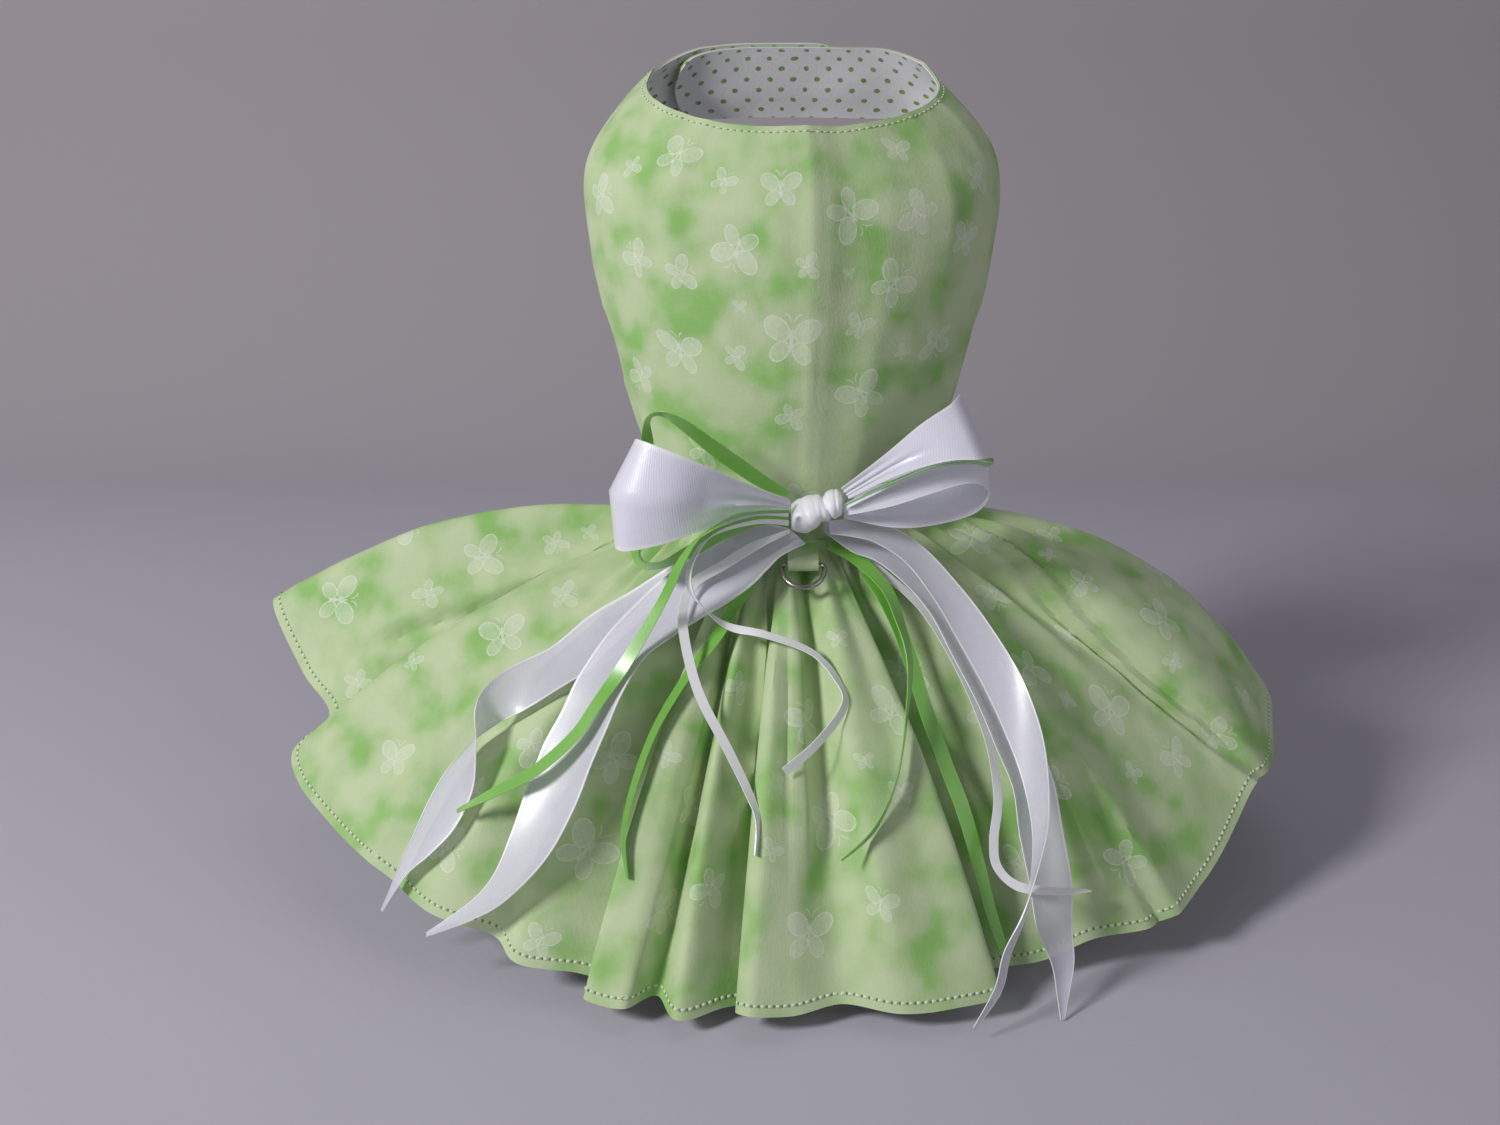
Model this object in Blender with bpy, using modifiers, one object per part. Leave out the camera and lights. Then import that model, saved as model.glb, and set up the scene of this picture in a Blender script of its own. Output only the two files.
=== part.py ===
"""Sleeveless harness dress for a small dog: lined bodice, gathered skirt, ribbon bow and leash ring.

Tables are in millimetres and degrees, and MM turns them into Blender's metres. Azimuth is measured
round the body: 0 faces the viewer (-Y), 90 is +X and -90 is -X. The origin is the centre of the neck
opening, where the wearer holds the dress up.
"""
import math

import bmesh
import bpy
from mathutils import Vector

MM = 0.001
MERGE = 0.02                   # points nearer than this become one
CLOTH = 1.0                    # every cloth and ribbon wall
SEAM_GAP = 0.3                 # clearance between pieces that are sewn together

# Bodice, from the neck rim down to the waist seam. The back is the far side, at the throat and belly.
RINGS = (
    # height at front, height at back, half width, depth to front, depth to back, squareness of the back
    (-13.2, 13.2, 49.5, 36.0, 34.0, 0.62),
    (-24.8, -0.8, 63.0, 41.0, 40.0, 0.72),
    (-38.8, -16.8, 71.0, 46.0, 47.0, 0.85),
    (-54.8, -42.8, 70.5, 48.0, 50.0, 0.95),
    (-76.8, -70.8, 66.5, 48.5, 50.0, 1.0),
    (-106.8, -104.8, 58.5, 47.5, 49.0, 1.0),
    (-132.8, -131.8, 50.0, 45.0, 46.0, 1.0),
    (-149.4, -149.4, 46.0, 44.0, 45.0, 1.0),
)
PANEL_EDGE = 82.0              # azimuth where the straps leave the panel
ARMHOLE_TOP = 0.571            # shares of the way down the rings at the armhole's closed end
ARMHOLE_FOOT = 0.69
ARMHOLE_DEPTH = 8.0            # how far its round end cuts into the panel, degrees
NECK_STRAP_FOOT = 0.24         # lower edge of the neck strap at the throat
NECK_STRAP_TAPER = 70.0        # azimuth over which the shoulder narrows to the strap
BELLY_STRAP_TOP = 0.72
STRAP_CORNER = 6.0             # radius of the strap ends' corners
STRAP_CORNER_STOPS = (35.0, 62.0, 90.0)    # where the columns cross that corner, degrees
STRAP_BODY_RADIUS = 40.0       # radius of the body under the strap ends
OVERLAP_SHIFT = 3.4            # the right straps pass inside the left ones by this much
OVERLAP_FROM, OVERLAP_TO = 145.0, 172.0
# The left and right straps' ends: azimuth, and how far the lower corner is cut back, degrees.
NECK_ENDS = ((-190.0, 4.0), (226.0, 17.0))
BELLY_ENDS = ((-194.0, 0.0), (214.0, 0.0))
LINING_GAP = 0.5               # clearance between the lining and the outer cloth
LINING_SHORT = 0.002           # share by which the lining's edges fall short of the outer cloth's
FACES_ACROSS = 20              # faces of each layer: across the panel, above, beside and below the armholes
FACES_ABOVE, FACES_AT_ARMHOLE, FACES_BELOW = 7, 4, 4
FACES_ALONG_STRAP = 11

# Skirt, one gathered strip from the rear left edge to the rear right edge.
WAIST_HALF_WIDTH = 46.5
WAIST_HALF_DEPTH = 45.0
WAIST_HEIGHT = -150.3
FOLDS = (
    # azimuth at waist, azimuth at hem, hem radius, hem height, bulge
    (-125, -126, 150, -232, 8),
    (-119, -119, 170, -226, 10),
    (-113, -113, 158, -232, 2),
    (-107, -106, 182, -222, 10),
    (-101, -99, 170, -226, 4),
    (-93, -91, 194, -186, 13),
    (-86, -84, 181, -206, 10),
    (-80, -78, 170, -217, -2),
    (-75, -76, 184, -229, 9),
    (-67, -66, 173, -243, 9),
    (-58, -56, 163, -250, 6),
    (-49, -48, 159, -255, 9),
    (-42, -41, 148, -260, 3),
    (-37, -36, 150, -264, 9),
    (-32, -29, 140, -267, 2),
    (-28, -22, 136, -272, -1),
    (-24.5, -26.5, 148, -269, 8),
    (-21, -22, 147, -270, 8),
    (-17.5, -18.5, 137, -270, 0),
    (-14, -14.5, 146, -271, 9),
    (-10.5, -9.5, 135, -272, 1),
    (-8, -3.5, 126, -275, -3),
    (-4.5, -7.5, 139, -270.5, 8),
    (-1, -1, 140, -270.5, 8),
    (4, 6, 135, -270, 2),
    (8, 13, 143, -270, 9),
    (12, 20, 145, -270, 8),
    (16, 26, 145, -269.5, 8),
    (19.5, 22.5, 130, -270, -3),
    (23, 29, 133, -269, 0),
    (28, 36, 138, -269, 2),
    (35, 43, 144, -265, 6),
    (44, 50, 156, -262, 12),
    (52, 58, 163, -255, 9),
    (61, 66, 168, -243, 7),
    (67, 71, 171, -235, 3),
    (73, 75, 177, -233, 17),
    (82, 83, 181, -228, 21),
    (92, 91, 184, -222, 22),
    (101, 101, 176, -224, 14),
    (107, 107, 184, -224, 14),
    (113, 114, 160, -230, 4),
    (119, 119, 170, -228, 10),
    (125, 126, 150, -232, 8),
)
FOLD_STEPS = 3                 # columns of faces from one fold to the next
SKIRT_ROWS = (0.0, 0.03, 0.07, 0.12, 0.19, 0.28, 0.4, 0.54, 0.68, 0.8, 0.9, 1.0)
GATHERS = 25
GATHERED_ARC = 250.0           # degrees of the waist that the gathers cover
GATHER_HEIGHT = 3.0
GATHER_LENGTH = 0.26           # share of the way down over which the gathers die out
GATHER_GROWTH = 0.09           # share of the way down over which they reach their full height

# The smooth cover that the ribbons are laid on, just outside the folds.
COVER = (
    # azimuth, hem radius, hem height, bulge
    (-90, 192, -198, 11),
    (-76, 184, -230, 10),
    (-52, 161, -252, 9),
    (-25, 148, -269, 9),
    (0, 141, -270.5, 9),
    (25, 147, -270, 9),
    (58, 161, -258, 12),
    (80, 184, -232, 19),
)

# Bow knot, a bundle of wrapped ribbon lofted from left to right.
KNOT = (
    # x, height, half height, y, half depth
    (-0.8, -136.6, 3.8, -54.0, 5.2),
    (1.0, -136.4, 5.0, -53.3, 7.0),
    (4.5, -136.0, 5.9, -53.0, 7.8),
    (7.6, -134.9, 5.2, -53.0, 7.4),
    (9.3, -134.0, 4.2, -53.0, 6.6),
    (11.5, -133.1, 4.8, -53.0, 7.0),
    (14.0, -132.4, 4.7, -53.0, 6.6),
    (15.8, -132.1, 3.6, -53.5, 5.0),
)
KNOT_SIDES = 16

# Ribbons in the air. Lean tips the ribbon's upper edge towards +X, tip brings it towards the viewer.
LOOP_LEFT = (
    # x, y, z, width, lean, tip
    (-1.6, -50.5, -135.2, 4.5, 0, 0),
    (-12.0, -51.0, -134.0, 9, 4, 0),
    (-27.0, -52.0, -132.0, 18, 8, 0),
    (-42.0, -55.0, -130.0, 28, 11, 0),
    (-51.0, -61.5, -126.4, 34, 12, 0),
    (-54.4, -69.0, -124.2, 36.5, 12, 0),
    (-50.5, -76.0, -123.6, 36.5, 12, 0),
    (-40.0, -78.5, -123.6, 30, 10, 0),
    (-30.0, -76.5, -124.0, 22, 8, 0),
    (-20.0, -71.0, -125.6, 13.5, 6, 0),
    (-10.0, -64.5, -128.2, 7, 4, 0),
    (-1.6, -57.5, -131.8, 4.5, 0, 0),
)
LOOP_RIGHT_UPPER = (
    (16.9, -50.0, -131.4, 4.5, -12, 0),
    (28.0, -48.6, -125.4, 10, -32, 0),
    (41.0, -51.0, -117.6, 16, -30, 0),
    (52.0, -57.5, -107.4, 17, -26, -8),
    (56.8, -66.0, -102.8, 22, -26, -14),
    (52.5, -74.0, -102.9, 19.5, -28, -20),
    (42.5, -75.5, -106.2, 14, -38, -20),
    (30.5, -72.4, -113.8, 8, -43, -16),
    (16.6, -58.5, -127.2, 4.5, -36, 0),
)
LOOP_RIGHT_LOWER = (
    (17.0, -56.5, -133.4, 4, -10, 0),
    (30.5, -66.0, -125.5, 8, -18, 0),
    (43.3, -70.3, -119.2, 9, -14, 0),
    (55.5, -70.0, -116.6, 8, -8, 0),
    (62.4, -65.8, -120.2, 10, -4, 0),
    (59.0, -60.6, -127.0, 13, 0, 0),
    (46.0, -57.5, -130.4, 17, 0, 8),
    (32.6, -55.5, -134.0, 12, -4, 4),
    (16.6, -51.5, -135.4, 5, -8, 0),
)
GREEN_LOOP_LEFT = (
    (-1.6, -53.6, -129.0, 2.2, 35, 0),
    (-10.0, -56.5, -124.0, 4.6, 45, 0),
    (-24.0, -61.5, -112.8, 5, 42, 0),
    (-36.0, -65.0, -102.6, 5, 20, 35),
    (-43.0, -63.0, -99.6, 5, 0, 60),
    (-47.5, -57.0, -103.0, 5, -35, 65),
    (-48.5, -50.0, -113.0, 5, -75, 30),
    (-50.0, -50.0, -128.0, 5, -90, 20),
    (-52.5, -54.0, -144.0, 5, -125, 10),
    (-50.5, -64.5, -149.2, 5, -165, -35),
    (-43.5, -71.5, -147.6, 5, -185, -45),
    (-33.0, -71.5, -142.6, 5, -200, -20),
    (-24.0, -67.5, -138.4, 4.5, -195, 0),
    (-12.5, -61.2, -136.0, 3.5, -190, 0),
    (-1.7, -58.4, -136.4, 2.2, -180, 0),
)
GREEN_LOOP_RIGHT = (
    (16.6, -60.0, -130.8, 2.2, 0, 60),
    (30.0, -69.6, -121.2, 4.5, 0, 68),
    (43.0, -74.3, -114.2, 5, 0, 70),
    (55.5, -73.9, -112.8, 5, 0, 66),
    (60.8, -72.2, -114.0, 4.0, -10, 64),
    (63.2, -67.4, -114.1, 3.2, -12, 60),
    (61.2, -61.7, -115.2, 4, -12, 62),
    (46.0, -58.4, -118.8, 4.5, 0, 70),
    (30.0, -54.4, -124.6, 4, 0, 70),
    (16.6, -54.4, -128.4, 2.2, 0, 60),
)

# Ribbons laid on the skirt: an optional stretch in the air, then the stretch over the cover.
TAIL_LEFT_FRONT_AIR = (
    # x, y, z, width, lean, tip
    (1.1, -56.8, -142.4, 8, -48, 0),
)
TAIL_LEFT_FRONT = (
    # azimuth, share of the way down, lift, width, turn
    (-6.5, 0.015, 12.5, 12.5, 0),
    (-12.5, 0.04, 12, 17.5, 0),
    (-18, 0.08, 11, 20.5, 0),
    (-24, 0.125, 10, 22, 0),
    (-29, 0.17, 9, 22, 0),
    (-33, 0.23, 8.8, 21, 0),
    (-36.5, 0.32, 9.2, 19, 0),
    (-37.5, 0.42, 8.8, 20, 0),
    (-37.5, 0.5, 7.8, 20.5, 0),
    (-37.8, 0.58, 6.8, 21, 3),
    (-37.5, 0.68, 6.2, 20, 5),
    (-37.8, 0.78, 6, 18, 0),
    (-39.5, 0.88, 5.5, 13, -10),
    (-42, 0.95, 5, 7.5, -10),
    (-46, 1.04, 5, 1.5, 0),
)
TAIL_LEFT_BACK = (
    (-13, 0.03, 7, 8, 0),
    (-20, 0.06, 6.5, 13, 0),
    (-28, 0.1, 5, 18, 0),
    (-35, 0.155, 3.5, 21, 0),
    (-40.5, 0.23, 3, 23, 0),
    (-46, 0.32, 3.3, 24, 0),
    (-50, 0.42, 3, 21, 0),
    (-52.5, 0.51, 5.5, 17, 25),
    (-53, 0.57, 8, 13, 62),
    (-53, 0.61, 8, 12, 100),
    (-52.5, 0.67, 7, 16, 150),
    (-51.8, 0.75, 5.5, 18, 180),
    (-51.5, 0.83, 5, 17, 188),
    (-52, 0.9, 4.5, 12.5, 186),
    (-52.5, 0.96, 4.5, 7, 182),
    (-52.5, 1.01, 4.5, 3.5, 180),
    (-52.5, 1.06, 4.5, 1.5, 180),
)
TAIL_RIGHT_FRONT = (
    (22, 0.0, 14, 7, 0),
    (30, 0.02, 13, 9, 0),
    (38, 0.09, 11.5, 11, 0),
    (40, 0.2, 11, 12, -10),
    (40, 0.3, 11, 12.5, -25),
    (39.5, 0.42, 11.5, 12.5, -45),
    (38.5, 0.53, 11.5, 12, -62),
    (37, 0.62, 11.5, 10.5, -76),
    (34.5, 0.71, 12.3, 9, -90),
    (32, 0.78, 11.8, 8, -105),
    (29, 0.86, 10, 8, -122),
    (26, 0.92, 8, 7, -132),
    (24, 0.98, 7.5, 5, -138),
    (20.5, 1.04, 7, 1.5, -140),
)
TAIL_RIGHT_BACK = (
    (22, 0.02, 8, 7, 0),
    (31, 0.05, 7.5, 10, 0),
    (38, 0.13, 6.5, 13, 0),
    (40.5, 0.22, 6, 16, 0),
    (40.5, 0.32, 5, 18, 0),
    (40.5, 0.44, 4, 19, 0),
    (40, 0.54, 3, 19, 0),
    (39.5, 0.63, 2.5, 18, 0),
    (37.5, 0.72, 2.5, 18, 0),
    (36, 0.82, 2.5, 17, 0),
    (34.5, 0.9, 2.5, 14, 0),
    (34, 0.97, 3, 9, 0),
    (33, 1.02, 3, 5, 0),
    (32, 1.07, 3, 1.5, 0),
)
TAIL_RIGHT_FRONT_AIR = (
    (12.0, -54.5, -140.1, 4.5, 180, 35),
)
TAIL_RIGHT_BACK_AIR = (
    (10.5, -50.0, -140.9, 4.5, 180, 35),
)
WHITE_CURL_AIR = (
    (-1.8, -61.2, -136.6, 2.4, 0, 30),
    (-11.8, -68.2, -134.0, 3.2, 0, 50),
    (-23.8, -76.0, -134.8, 3.2, 20, 55),
    (-30.4, -79.4, -139.2, 3.2, 50, 55),
    (-34.0, -79.4, -147.7, 3.2, 80, 55),
    (-32.2, -77.4, -156.9, 3.2, 110, 45),
    (-22.7, -72.2, -168.1, 3.2, 155, 20),
)
WHITE_CURL = (
    (-7, 0.225, 4.5, 3.2, 30),
    (4, 0.26, 2.8, 3.2, 38),
    (9, 0.32, 2.8, 3.2, 42),
    (10, 0.38, 2.8, 3.2, 42),
    (4, 0.46, 2.8, 3.2, 42),
    (-2, 0.52, 2.8, 3.2, 42),
)
WHITE_STRAIGHT_AIR = (
    (-1.3, -59.3, -139.9, 2.4, 0, 45),
)
WHITE_STRAIGHT = (
    (-12, 0.045, 16.2, 3.2, 0),
    (-20, 0.095, 14.2, 3.2, 15),
    (-26, 0.14, 13, 3.2, 35),
    (-27, 0.19, 12, 3.2, 45),
    (-24.5, 0.26, 11.4, 3.2, 30),
    (-19, 0.37, 7.4, 3.2, 20),
    (-12, 0.48, 3.8, 3.2, 30),
    (-8, 0.56, 2.8, 3.2, 40),
    (-6, 0.62, 2.8, 3.2, 60),
    (-6, 0.69, 2.8, 3.2, 78),
)
WHITE_UNDER = (
    (24, 0.04, 3.6, 3.2, 0),
    (31, 0.1, 2.8, 3.2, 0),
    (37, 0.2, 1.5, 3.2, 0),
    (38, 0.35, 0, 3.2, 0),
    (37, 0.5, -1, 3.2, 0),
    (34, 0.62, -0.5, 3.2, 0),
    (30.5, 0.7, 0.5, 3.2, 0),
    (29, 0.755, 3, 3.2, 0),
    (30.5, 0.805, 5.6, 3.2, 0),
    (35.5, 0.84, 5.8, 3.2, 30),
    (40, 0.865, 5.5, 3.2, 60),
)
GREEN_TAIL_1_AIR = (
    (-1.6, -62.6, -132.2, 2.2, -20, 45),
    (-13.2, -70.6, -130.2, 4, -5, 60),
    (-21.5, -76.4, -130.5, 4.5, 15, 55),
    (-30.4, -80.6, -135.2, 4.5, 42, 45),
    (-36.2, -81.0, -143.2, 4.5, 65, 40),
    (-42.8, -79.8, -157.4, 4.5, 72, 30),
)
GREEN_TAIL_1 = (
    (-33, 0.36, 13.6, 4.5, 10),
    (-35, 0.46, 12.4, 4.5, 0),
    (-36.5, 0.54, 11.4, 4.5, 0),
    (-40, 0.64, 10.8, 4.5, 0),
    (-44, 0.72, 10.8, 4, 0),
    (-48, 0.8, 10, 1.5, 0),
)
GREEN_TAIL_2 = (
    (-8.5, 0.02, 4.6, 3.5, 0),
    (-12, 0.075, 4, 4.5, 0),
    (-16, 0.14, 3.2, 5, -10),
    (-19.5, 0.24, 3.2, 5, -18),
    (-23.5, 0.34, 3.2, 5, -30),
    (-26, 0.46, 3.4, 5, -36),
    (-26.5, 0.58, 3.4, 5, -40),
    (-26, 0.68, 3, 4, -45),
    (-24, 0.76, 2.2, 1.5, -50),
)
GREEN_TAIL_3 = (
    (14, 0.01, 5.2, 4, 0),
    (22, 0.05, 5.0, 5, 0),
    (27.5, 0.13, 5, 5, 10),
    (27.5, 0.21, 4.5, 5, 25),
    (26, 0.3, 4.5, 5, 40),
    (22, 0.4, 5, 5, 60),
    (17, 0.54, 5, 5, 70),
    (12, 0.64, 4.5, 4, 70),
    (6.5, 0.7, 4, 1.5, 70),
)
GREEN_TAIL_4 = (
    (23.5, 0.085, 3.6, 3.5, 0),
    (26.3, 0.14, 3.0, 4.5, 0),
    (28.3, 0.22, 0.6, 5.4, 0),
    (28.5, 0.3, -1.5, 5.4, 0),
    (28, 0.4, -3, 5.4, 0),
    (28, 0.52, -3.5, 5.4, 0),
    (28.5, 0.62, -4, 5.4, 0),
    (28.5, 0.72, -5, 4.8, 0),
    (28.5, 0.82, -6, 4.2, 0),
    (29, 0.9, -7, 3.4, 0),
    (29.5, 0.94, -7, 1.5, 0),
)
RIBBON_STEPS = 2               # stations from one row to the next
WIDE_FACES = 3                 # faces across the bow's hanging ends
CUP = 0.06                     # how far a wide ribbon's middle stands off, as a share of its width
LOOP_FACES = 4                 # faces across the bow's loops
LEFT_CREASE = 5.2              # height of the crease along the left loop's middle
CREASE_FROM, CREASE_TO = 0.2, 0.74             # shares of the loop's length that it covers

# Leash ring and the fabric tab that holds it.
RING_X = 3.2
RING_BAR_Y = -57.0
RING_BAR_Z = -152.4
RING_WIRE = 0.85               # radius of the wire
RING_INSIDE = 12.7             # width inside the ring
RING_REACH = 9.6               # from the middle of the bar to the middle of the bow
RING_CORNER = 1.6              # radius of the bends between the bar and the bow
RING_REST_ANGLE = 33.0         # slope below level at which the ring rests
RING_STEPS = 14
RING_PLAY = 0.4                # clearance between the bar and the fabric round it
TAB_WIDTH = 10.2
TAB_TOP_Y = -48.4
TAB_TOP_Z = -148.2
TAB_TURN_STEPS = 8
TAB_WRAP = 105.0               # degrees of the turn round the bar, either way from its lowest point

COLOURS = {
    "print": ((0.40, 0.53, 0.25, 1.0), 0.0, 0.85),
    "dots": ((0.75, 0.77, 0.70, 1.0), 0.0, 0.85),
    "satin": ((0.83, 0.83, 0.90, 1.0), 0.0, 0.35),
    "green satin": ((0.13, 0.34, 0.05, 1.0), 0.0, 0.45),
    "steel": ((0.72, 0.72, 0.72, 1.0), 1.0, 0.25),
}


def clear_scene():
    for item in list(bpy.data.objects):
        bpy.data.objects.remove(item)


def material(name, kind):
    colour, metallic, roughness = COLOURS[kind]
    made = bpy.data.materials.new(name + "_material")
    made.use_nodes = True
    shader = made.node_tree.nodes["Principled BSDF"]
    shader.inputs["Base Color"].default_value = colour
    shader.inputs["Metallic"].default_value = metallic
    shader.inputs["Roughness"].default_value = roughness
    return made


def cubic(before, start, end, after, t):
    """A smooth curve through start and end, shaped by the values on either side."""
    bend = 2 * before - 5 * start + 4 * end - after
    twist = 3 * (start - end) + after - before
    return start + 0.5 * t * (end - before + t * (bend + t * twist))


def smooth_row(rows, place):
    """Values at a place between the rows of a table, where place 1.5 is midway from row 1 to row 2."""
    last = len(rows) - 1
    index = min(int(place), last - 1)
    t = place - index
    picks = [rows[min(max(index + k, 0), last)] for k in (-1, 0, 1, 2)]
    return [cubic(*column, t) for column in zip(*picks)]


def smooth_at(rows, key):
    """Values of a table at a key between those in its first column."""
    last = len(rows) - 1
    index = 0
    while index < last - 1 and rows[index + 1][0] < key:
        index += 1
    t = (key - rows[index][0]) / (rows[index + 1][0] - rows[index][0])
    return smooth_row(rows, index + min(max(t, 0.0), 1.0))[1:]


def grid_faces(mesh, columns, flip=False):
    """Adds a grid of points, given as a list of columns of equal length, and its faces."""
    made = [[mesh.verts.new(point * MM) for point in column] for column in columns]
    for left, right in zip(made, made[1:]):
        for k in range(len(left) - 1):
            corners = [left[k], left[k + 1], right[k + 1], right[k]]
            mesh.faces.new(reversed(corners) if flip else corners)


def add_object(name, mesh, kind, collection, offset=0.0):
    """Makes a shell from an open surface: offset 0 centres the wall on it, -1 puts it inside. A closed
    surface takes offset None and gets no wall."""
    bmesh.ops.remove_doubles(mesh, verts=mesh.verts, dist=MERGE * MM)
    data = bpy.data.meshes.new(name)
    mesh.to_mesh(data)
    mesh.free()
    made = bpy.data.objects.new(name, data)
    made.data.materials.append(material(name, kind))
    collection.objects.link(made)
    if offset is not None:
        wall = made.modifiers.new("wall", "SOLIDIFY")
        wall.thickness = CLOTH * MM
        wall.offset = offset
        wall.use_even_offset = False
    return made


def bodice_surface(azimuth, down):
    """A point of the bodice's outer face at a share of the way from the neck rim down to the waist."""
    front, back, half_width, to_front, to_back, square = smooth_row(RINGS, down * (len(RINGS) - 1))
    turn = math.radians(azimuth)
    across, along = math.sin(turn), math.cos(turn)
    height = front + (back - front) * (1 - along) / 2
    if along > 0:
        return Vector((half_width * across, -to_front * along, height))
    across = math.copysign(abs(across) ** square, across)
    return Vector((half_width * across, to_back * abs(along) ** square, height))


def bodice_point(azimuth, down, inset):
    """A point of the bodice moved in square to the cloth."""
    step_round = bodice_surface(azimuth + 0.5, down) - bodice_surface(azimuth - 0.5, down)
    step_down = bodice_surface(azimuth, down + 0.005) - bodice_surface(azimuth, down - 0.005)
    inward = step_round.cross(step_down).normalized()
    return bodice_surface(azimuth, down) + inward * inset


def shares(count):
    return [k / count for k in range(count + 1)]


def strap_shift(azimuth):
    """How far the right strap has moved inside the left one at an azimuth."""
    t = min(max((azimuth - OVERLAP_FROM) / (OVERLAP_TO - OVERLAP_FROM), 0.0), 1.0)
    return OVERLAP_SHIFT * t * t * (3 - 2 * t)


def neck_strap_foot(azimuth):
    t = min((abs(azimuth) - PANEL_EDGE) / NECK_STRAP_TAPER, 1.0)
    return NECK_STRAP_FOOT + (ARMHOLE_TOP - NECK_STRAP_FOOT) * (1 - t) ** 2


def belly_strap_top(azimuth):
    t = min((abs(azimuth) - PANEL_EDGE) / NECK_STRAP_TAPER, 1.0)
    return ARMHOLE_FOOT + (BELLY_STRAP_TOP - ARMHOLE_FOOT) * t


def panel_columns(faces_across, rows, inset, rise):
    """The panel that faces the viewer, with the armholes' round ends cut into its sides."""
    middle = (ARMHOLE_TOP + ARMHOLE_FOOT) / 2
    half = (ARMHOLE_FOOT - ARMHOLE_TOP) / 2
    columns = []
    for k in range(faces_across + 1):
        across = -1 + 2 * k / faces_across
        column = []
        for down in rows:
            inside = max(1 - ((down - middle) / half) ** 2, 0.0)
            edge = PANEL_EDGE - ARMHOLE_DEPTH * math.sqrt(inside)
            column.append(bodice_point(across * edge, hold_rim(down, rise), inset))
        columns.append(column)
    return columns


def hold_rim(down, rise):
    """Keeps the lining's rim and foot just inside the outer cloth's edges."""
    return rise + down * (1 - 2 * rise)


def strap_columns(end, cut_back, faces_high, top, foot, inset, rise):
    """A strap from the panel's side to its rounded free end, top and foot giving its edges."""
    side = 1 if end > 0 else -1
    reach = abs(end) - PANEL_EDGE
    corner = math.degrees(STRAP_CORNER / STRAP_BODY_RADIUS)
    stops = [PANEL_EDGE + (reach - corner) * t for t in shares(FACES_ALONG_STRAP)]
    stops += [abs(end) - corner * (1 - math.sin(math.radians(a))) for a in STRAP_CORNER_STOPS]
    columns = []
    for stop in stops:
        past = max(stop - (abs(end) - corner), 0.0) / corner
        cut = STRAP_CORNER * (1 - math.sqrt(max(1 - past * past, 0.0)))
        upper, lower = top(stop), foot(stop)
        span = (bodice_surface(side * stop, upper) - bodice_surface(side * stop, lower)).length
        trim = (lower - upper) * cut / span
        shift = strap_shift(stop) if side > 0 else 0.0
        slant = cut_back * ((stop - PANEL_EDGE) / reach) ** 2
        column = []
        for t in shares(faces_high):
            down = upper + trim + (lower - upper - 2 * trim) * t
            azimuth = stop - slant * (down - upper) / (lower - upper)
            column.append(bodice_point(side * azimuth, hold_rim(down, rise), inset + shift))
        columns.append(column)
    return columns


def bodice_layer(name, kind, collection, inset, rise):
    """The whole bodice as one layer: panel, two neck straps and two belly straps."""
    rows = [ARMHOLE_TOP * t for t in shares(FACES_ABOVE)]
    rows += [ARMHOLE_TOP + (ARMHOLE_FOOT - ARMHOLE_TOP) * t for t in shares(FACES_AT_ARMHOLE)[1:]]
    rows += [ARMHOLE_FOOT + (1 - ARMHOLE_FOOT) * t for t in shares(FACES_BELOW)[1:]]
    mesh = bmesh.new()
    grid_faces(mesh, panel_columns(FACES_ACROSS, rows, inset, rise))
    for end, cut_back in NECK_ENDS:
        columns = strap_columns(end, cut_back, FACES_ABOVE, lambda a: 0.0, neck_strap_foot, inset, rise)
        grid_faces(mesh, columns, flip=end < 0)
    for end, cut_back in BELLY_ENDS:
        columns = strap_columns(end, cut_back, FACES_BELOW, belly_strap_top, lambda a: 1.0, inset, rise)
        grid_faces(mesh, columns, flip=end < 0)
    return add_object(name, mesh, kind, collection, offset=-1.0)


def skirt_point(place, down):
    """A point of the skirt at a place along the folds' table and a share of the way to the hem."""
    at_waist, at_hem, radius, height, bulge = smooth_row(FOLDS, place)
    turn = math.radians(at_waist)
    waist = Vector((WAIST_HALF_WIDTH * math.sin(turn), -WAIST_HALF_DEPTH * math.cos(turn), WAIST_HEIGHT))
    turn = math.radians(at_hem)
    outward = Vector((math.sin(turn), -math.cos(turn), 0.0))
    hem = outward * radius + Vector((0.0, 0.0, height))
    rise = slope_normal(waist, hem, outward)
    ripple = gather(at_waist, down)
    return waist.lerp(hem, down) + rise * (bulge * 4 * down * (1 - down) + ripple)


def slope_normal(waist, hem, outward):
    """The direction that stands off the cloth, square to the slope from waist to hem."""
    drop = waist.z - hem.z
    run = (hem - waist).dot(outward)
    length = math.hypot(run, drop)
    return outward * (drop / length) + Vector((0.0, 0.0, run / length))


def gather(azimuth, down):
    """Height of the small uneven gathers, which are deepest just under the seam."""
    drift = 0.9 * math.sin(0.11 * azimuth) + 0.7 * math.sin(0.23 * azimuth + 1.0)
    size = GATHER_HEIGHT * (0.75 + 0.25 * math.sin(0.31 * azimuth + 0.5))
    wave = math.cos(2 * math.pi * GATHERS * azimuth / GATHERED_ARC + drift)
    grow = min(0.45 + down / GATHER_GROWTH, 1.0)
    return size * wave * grow * math.exp(-((down / GATHER_LENGTH) ** 1.5))


def make_skirt(collection):
    mesh = bmesh.new()
    count = (len(FOLDS) - 1) * FOLD_STEPS
    columns = [[skirt_point(k / FOLD_STEPS, down) for down in SKIRT_ROWS] for k in range(count + 1)]
    grid_faces(mesh, columns)
    return add_object("skirt", mesh, "print", collection)


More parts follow.
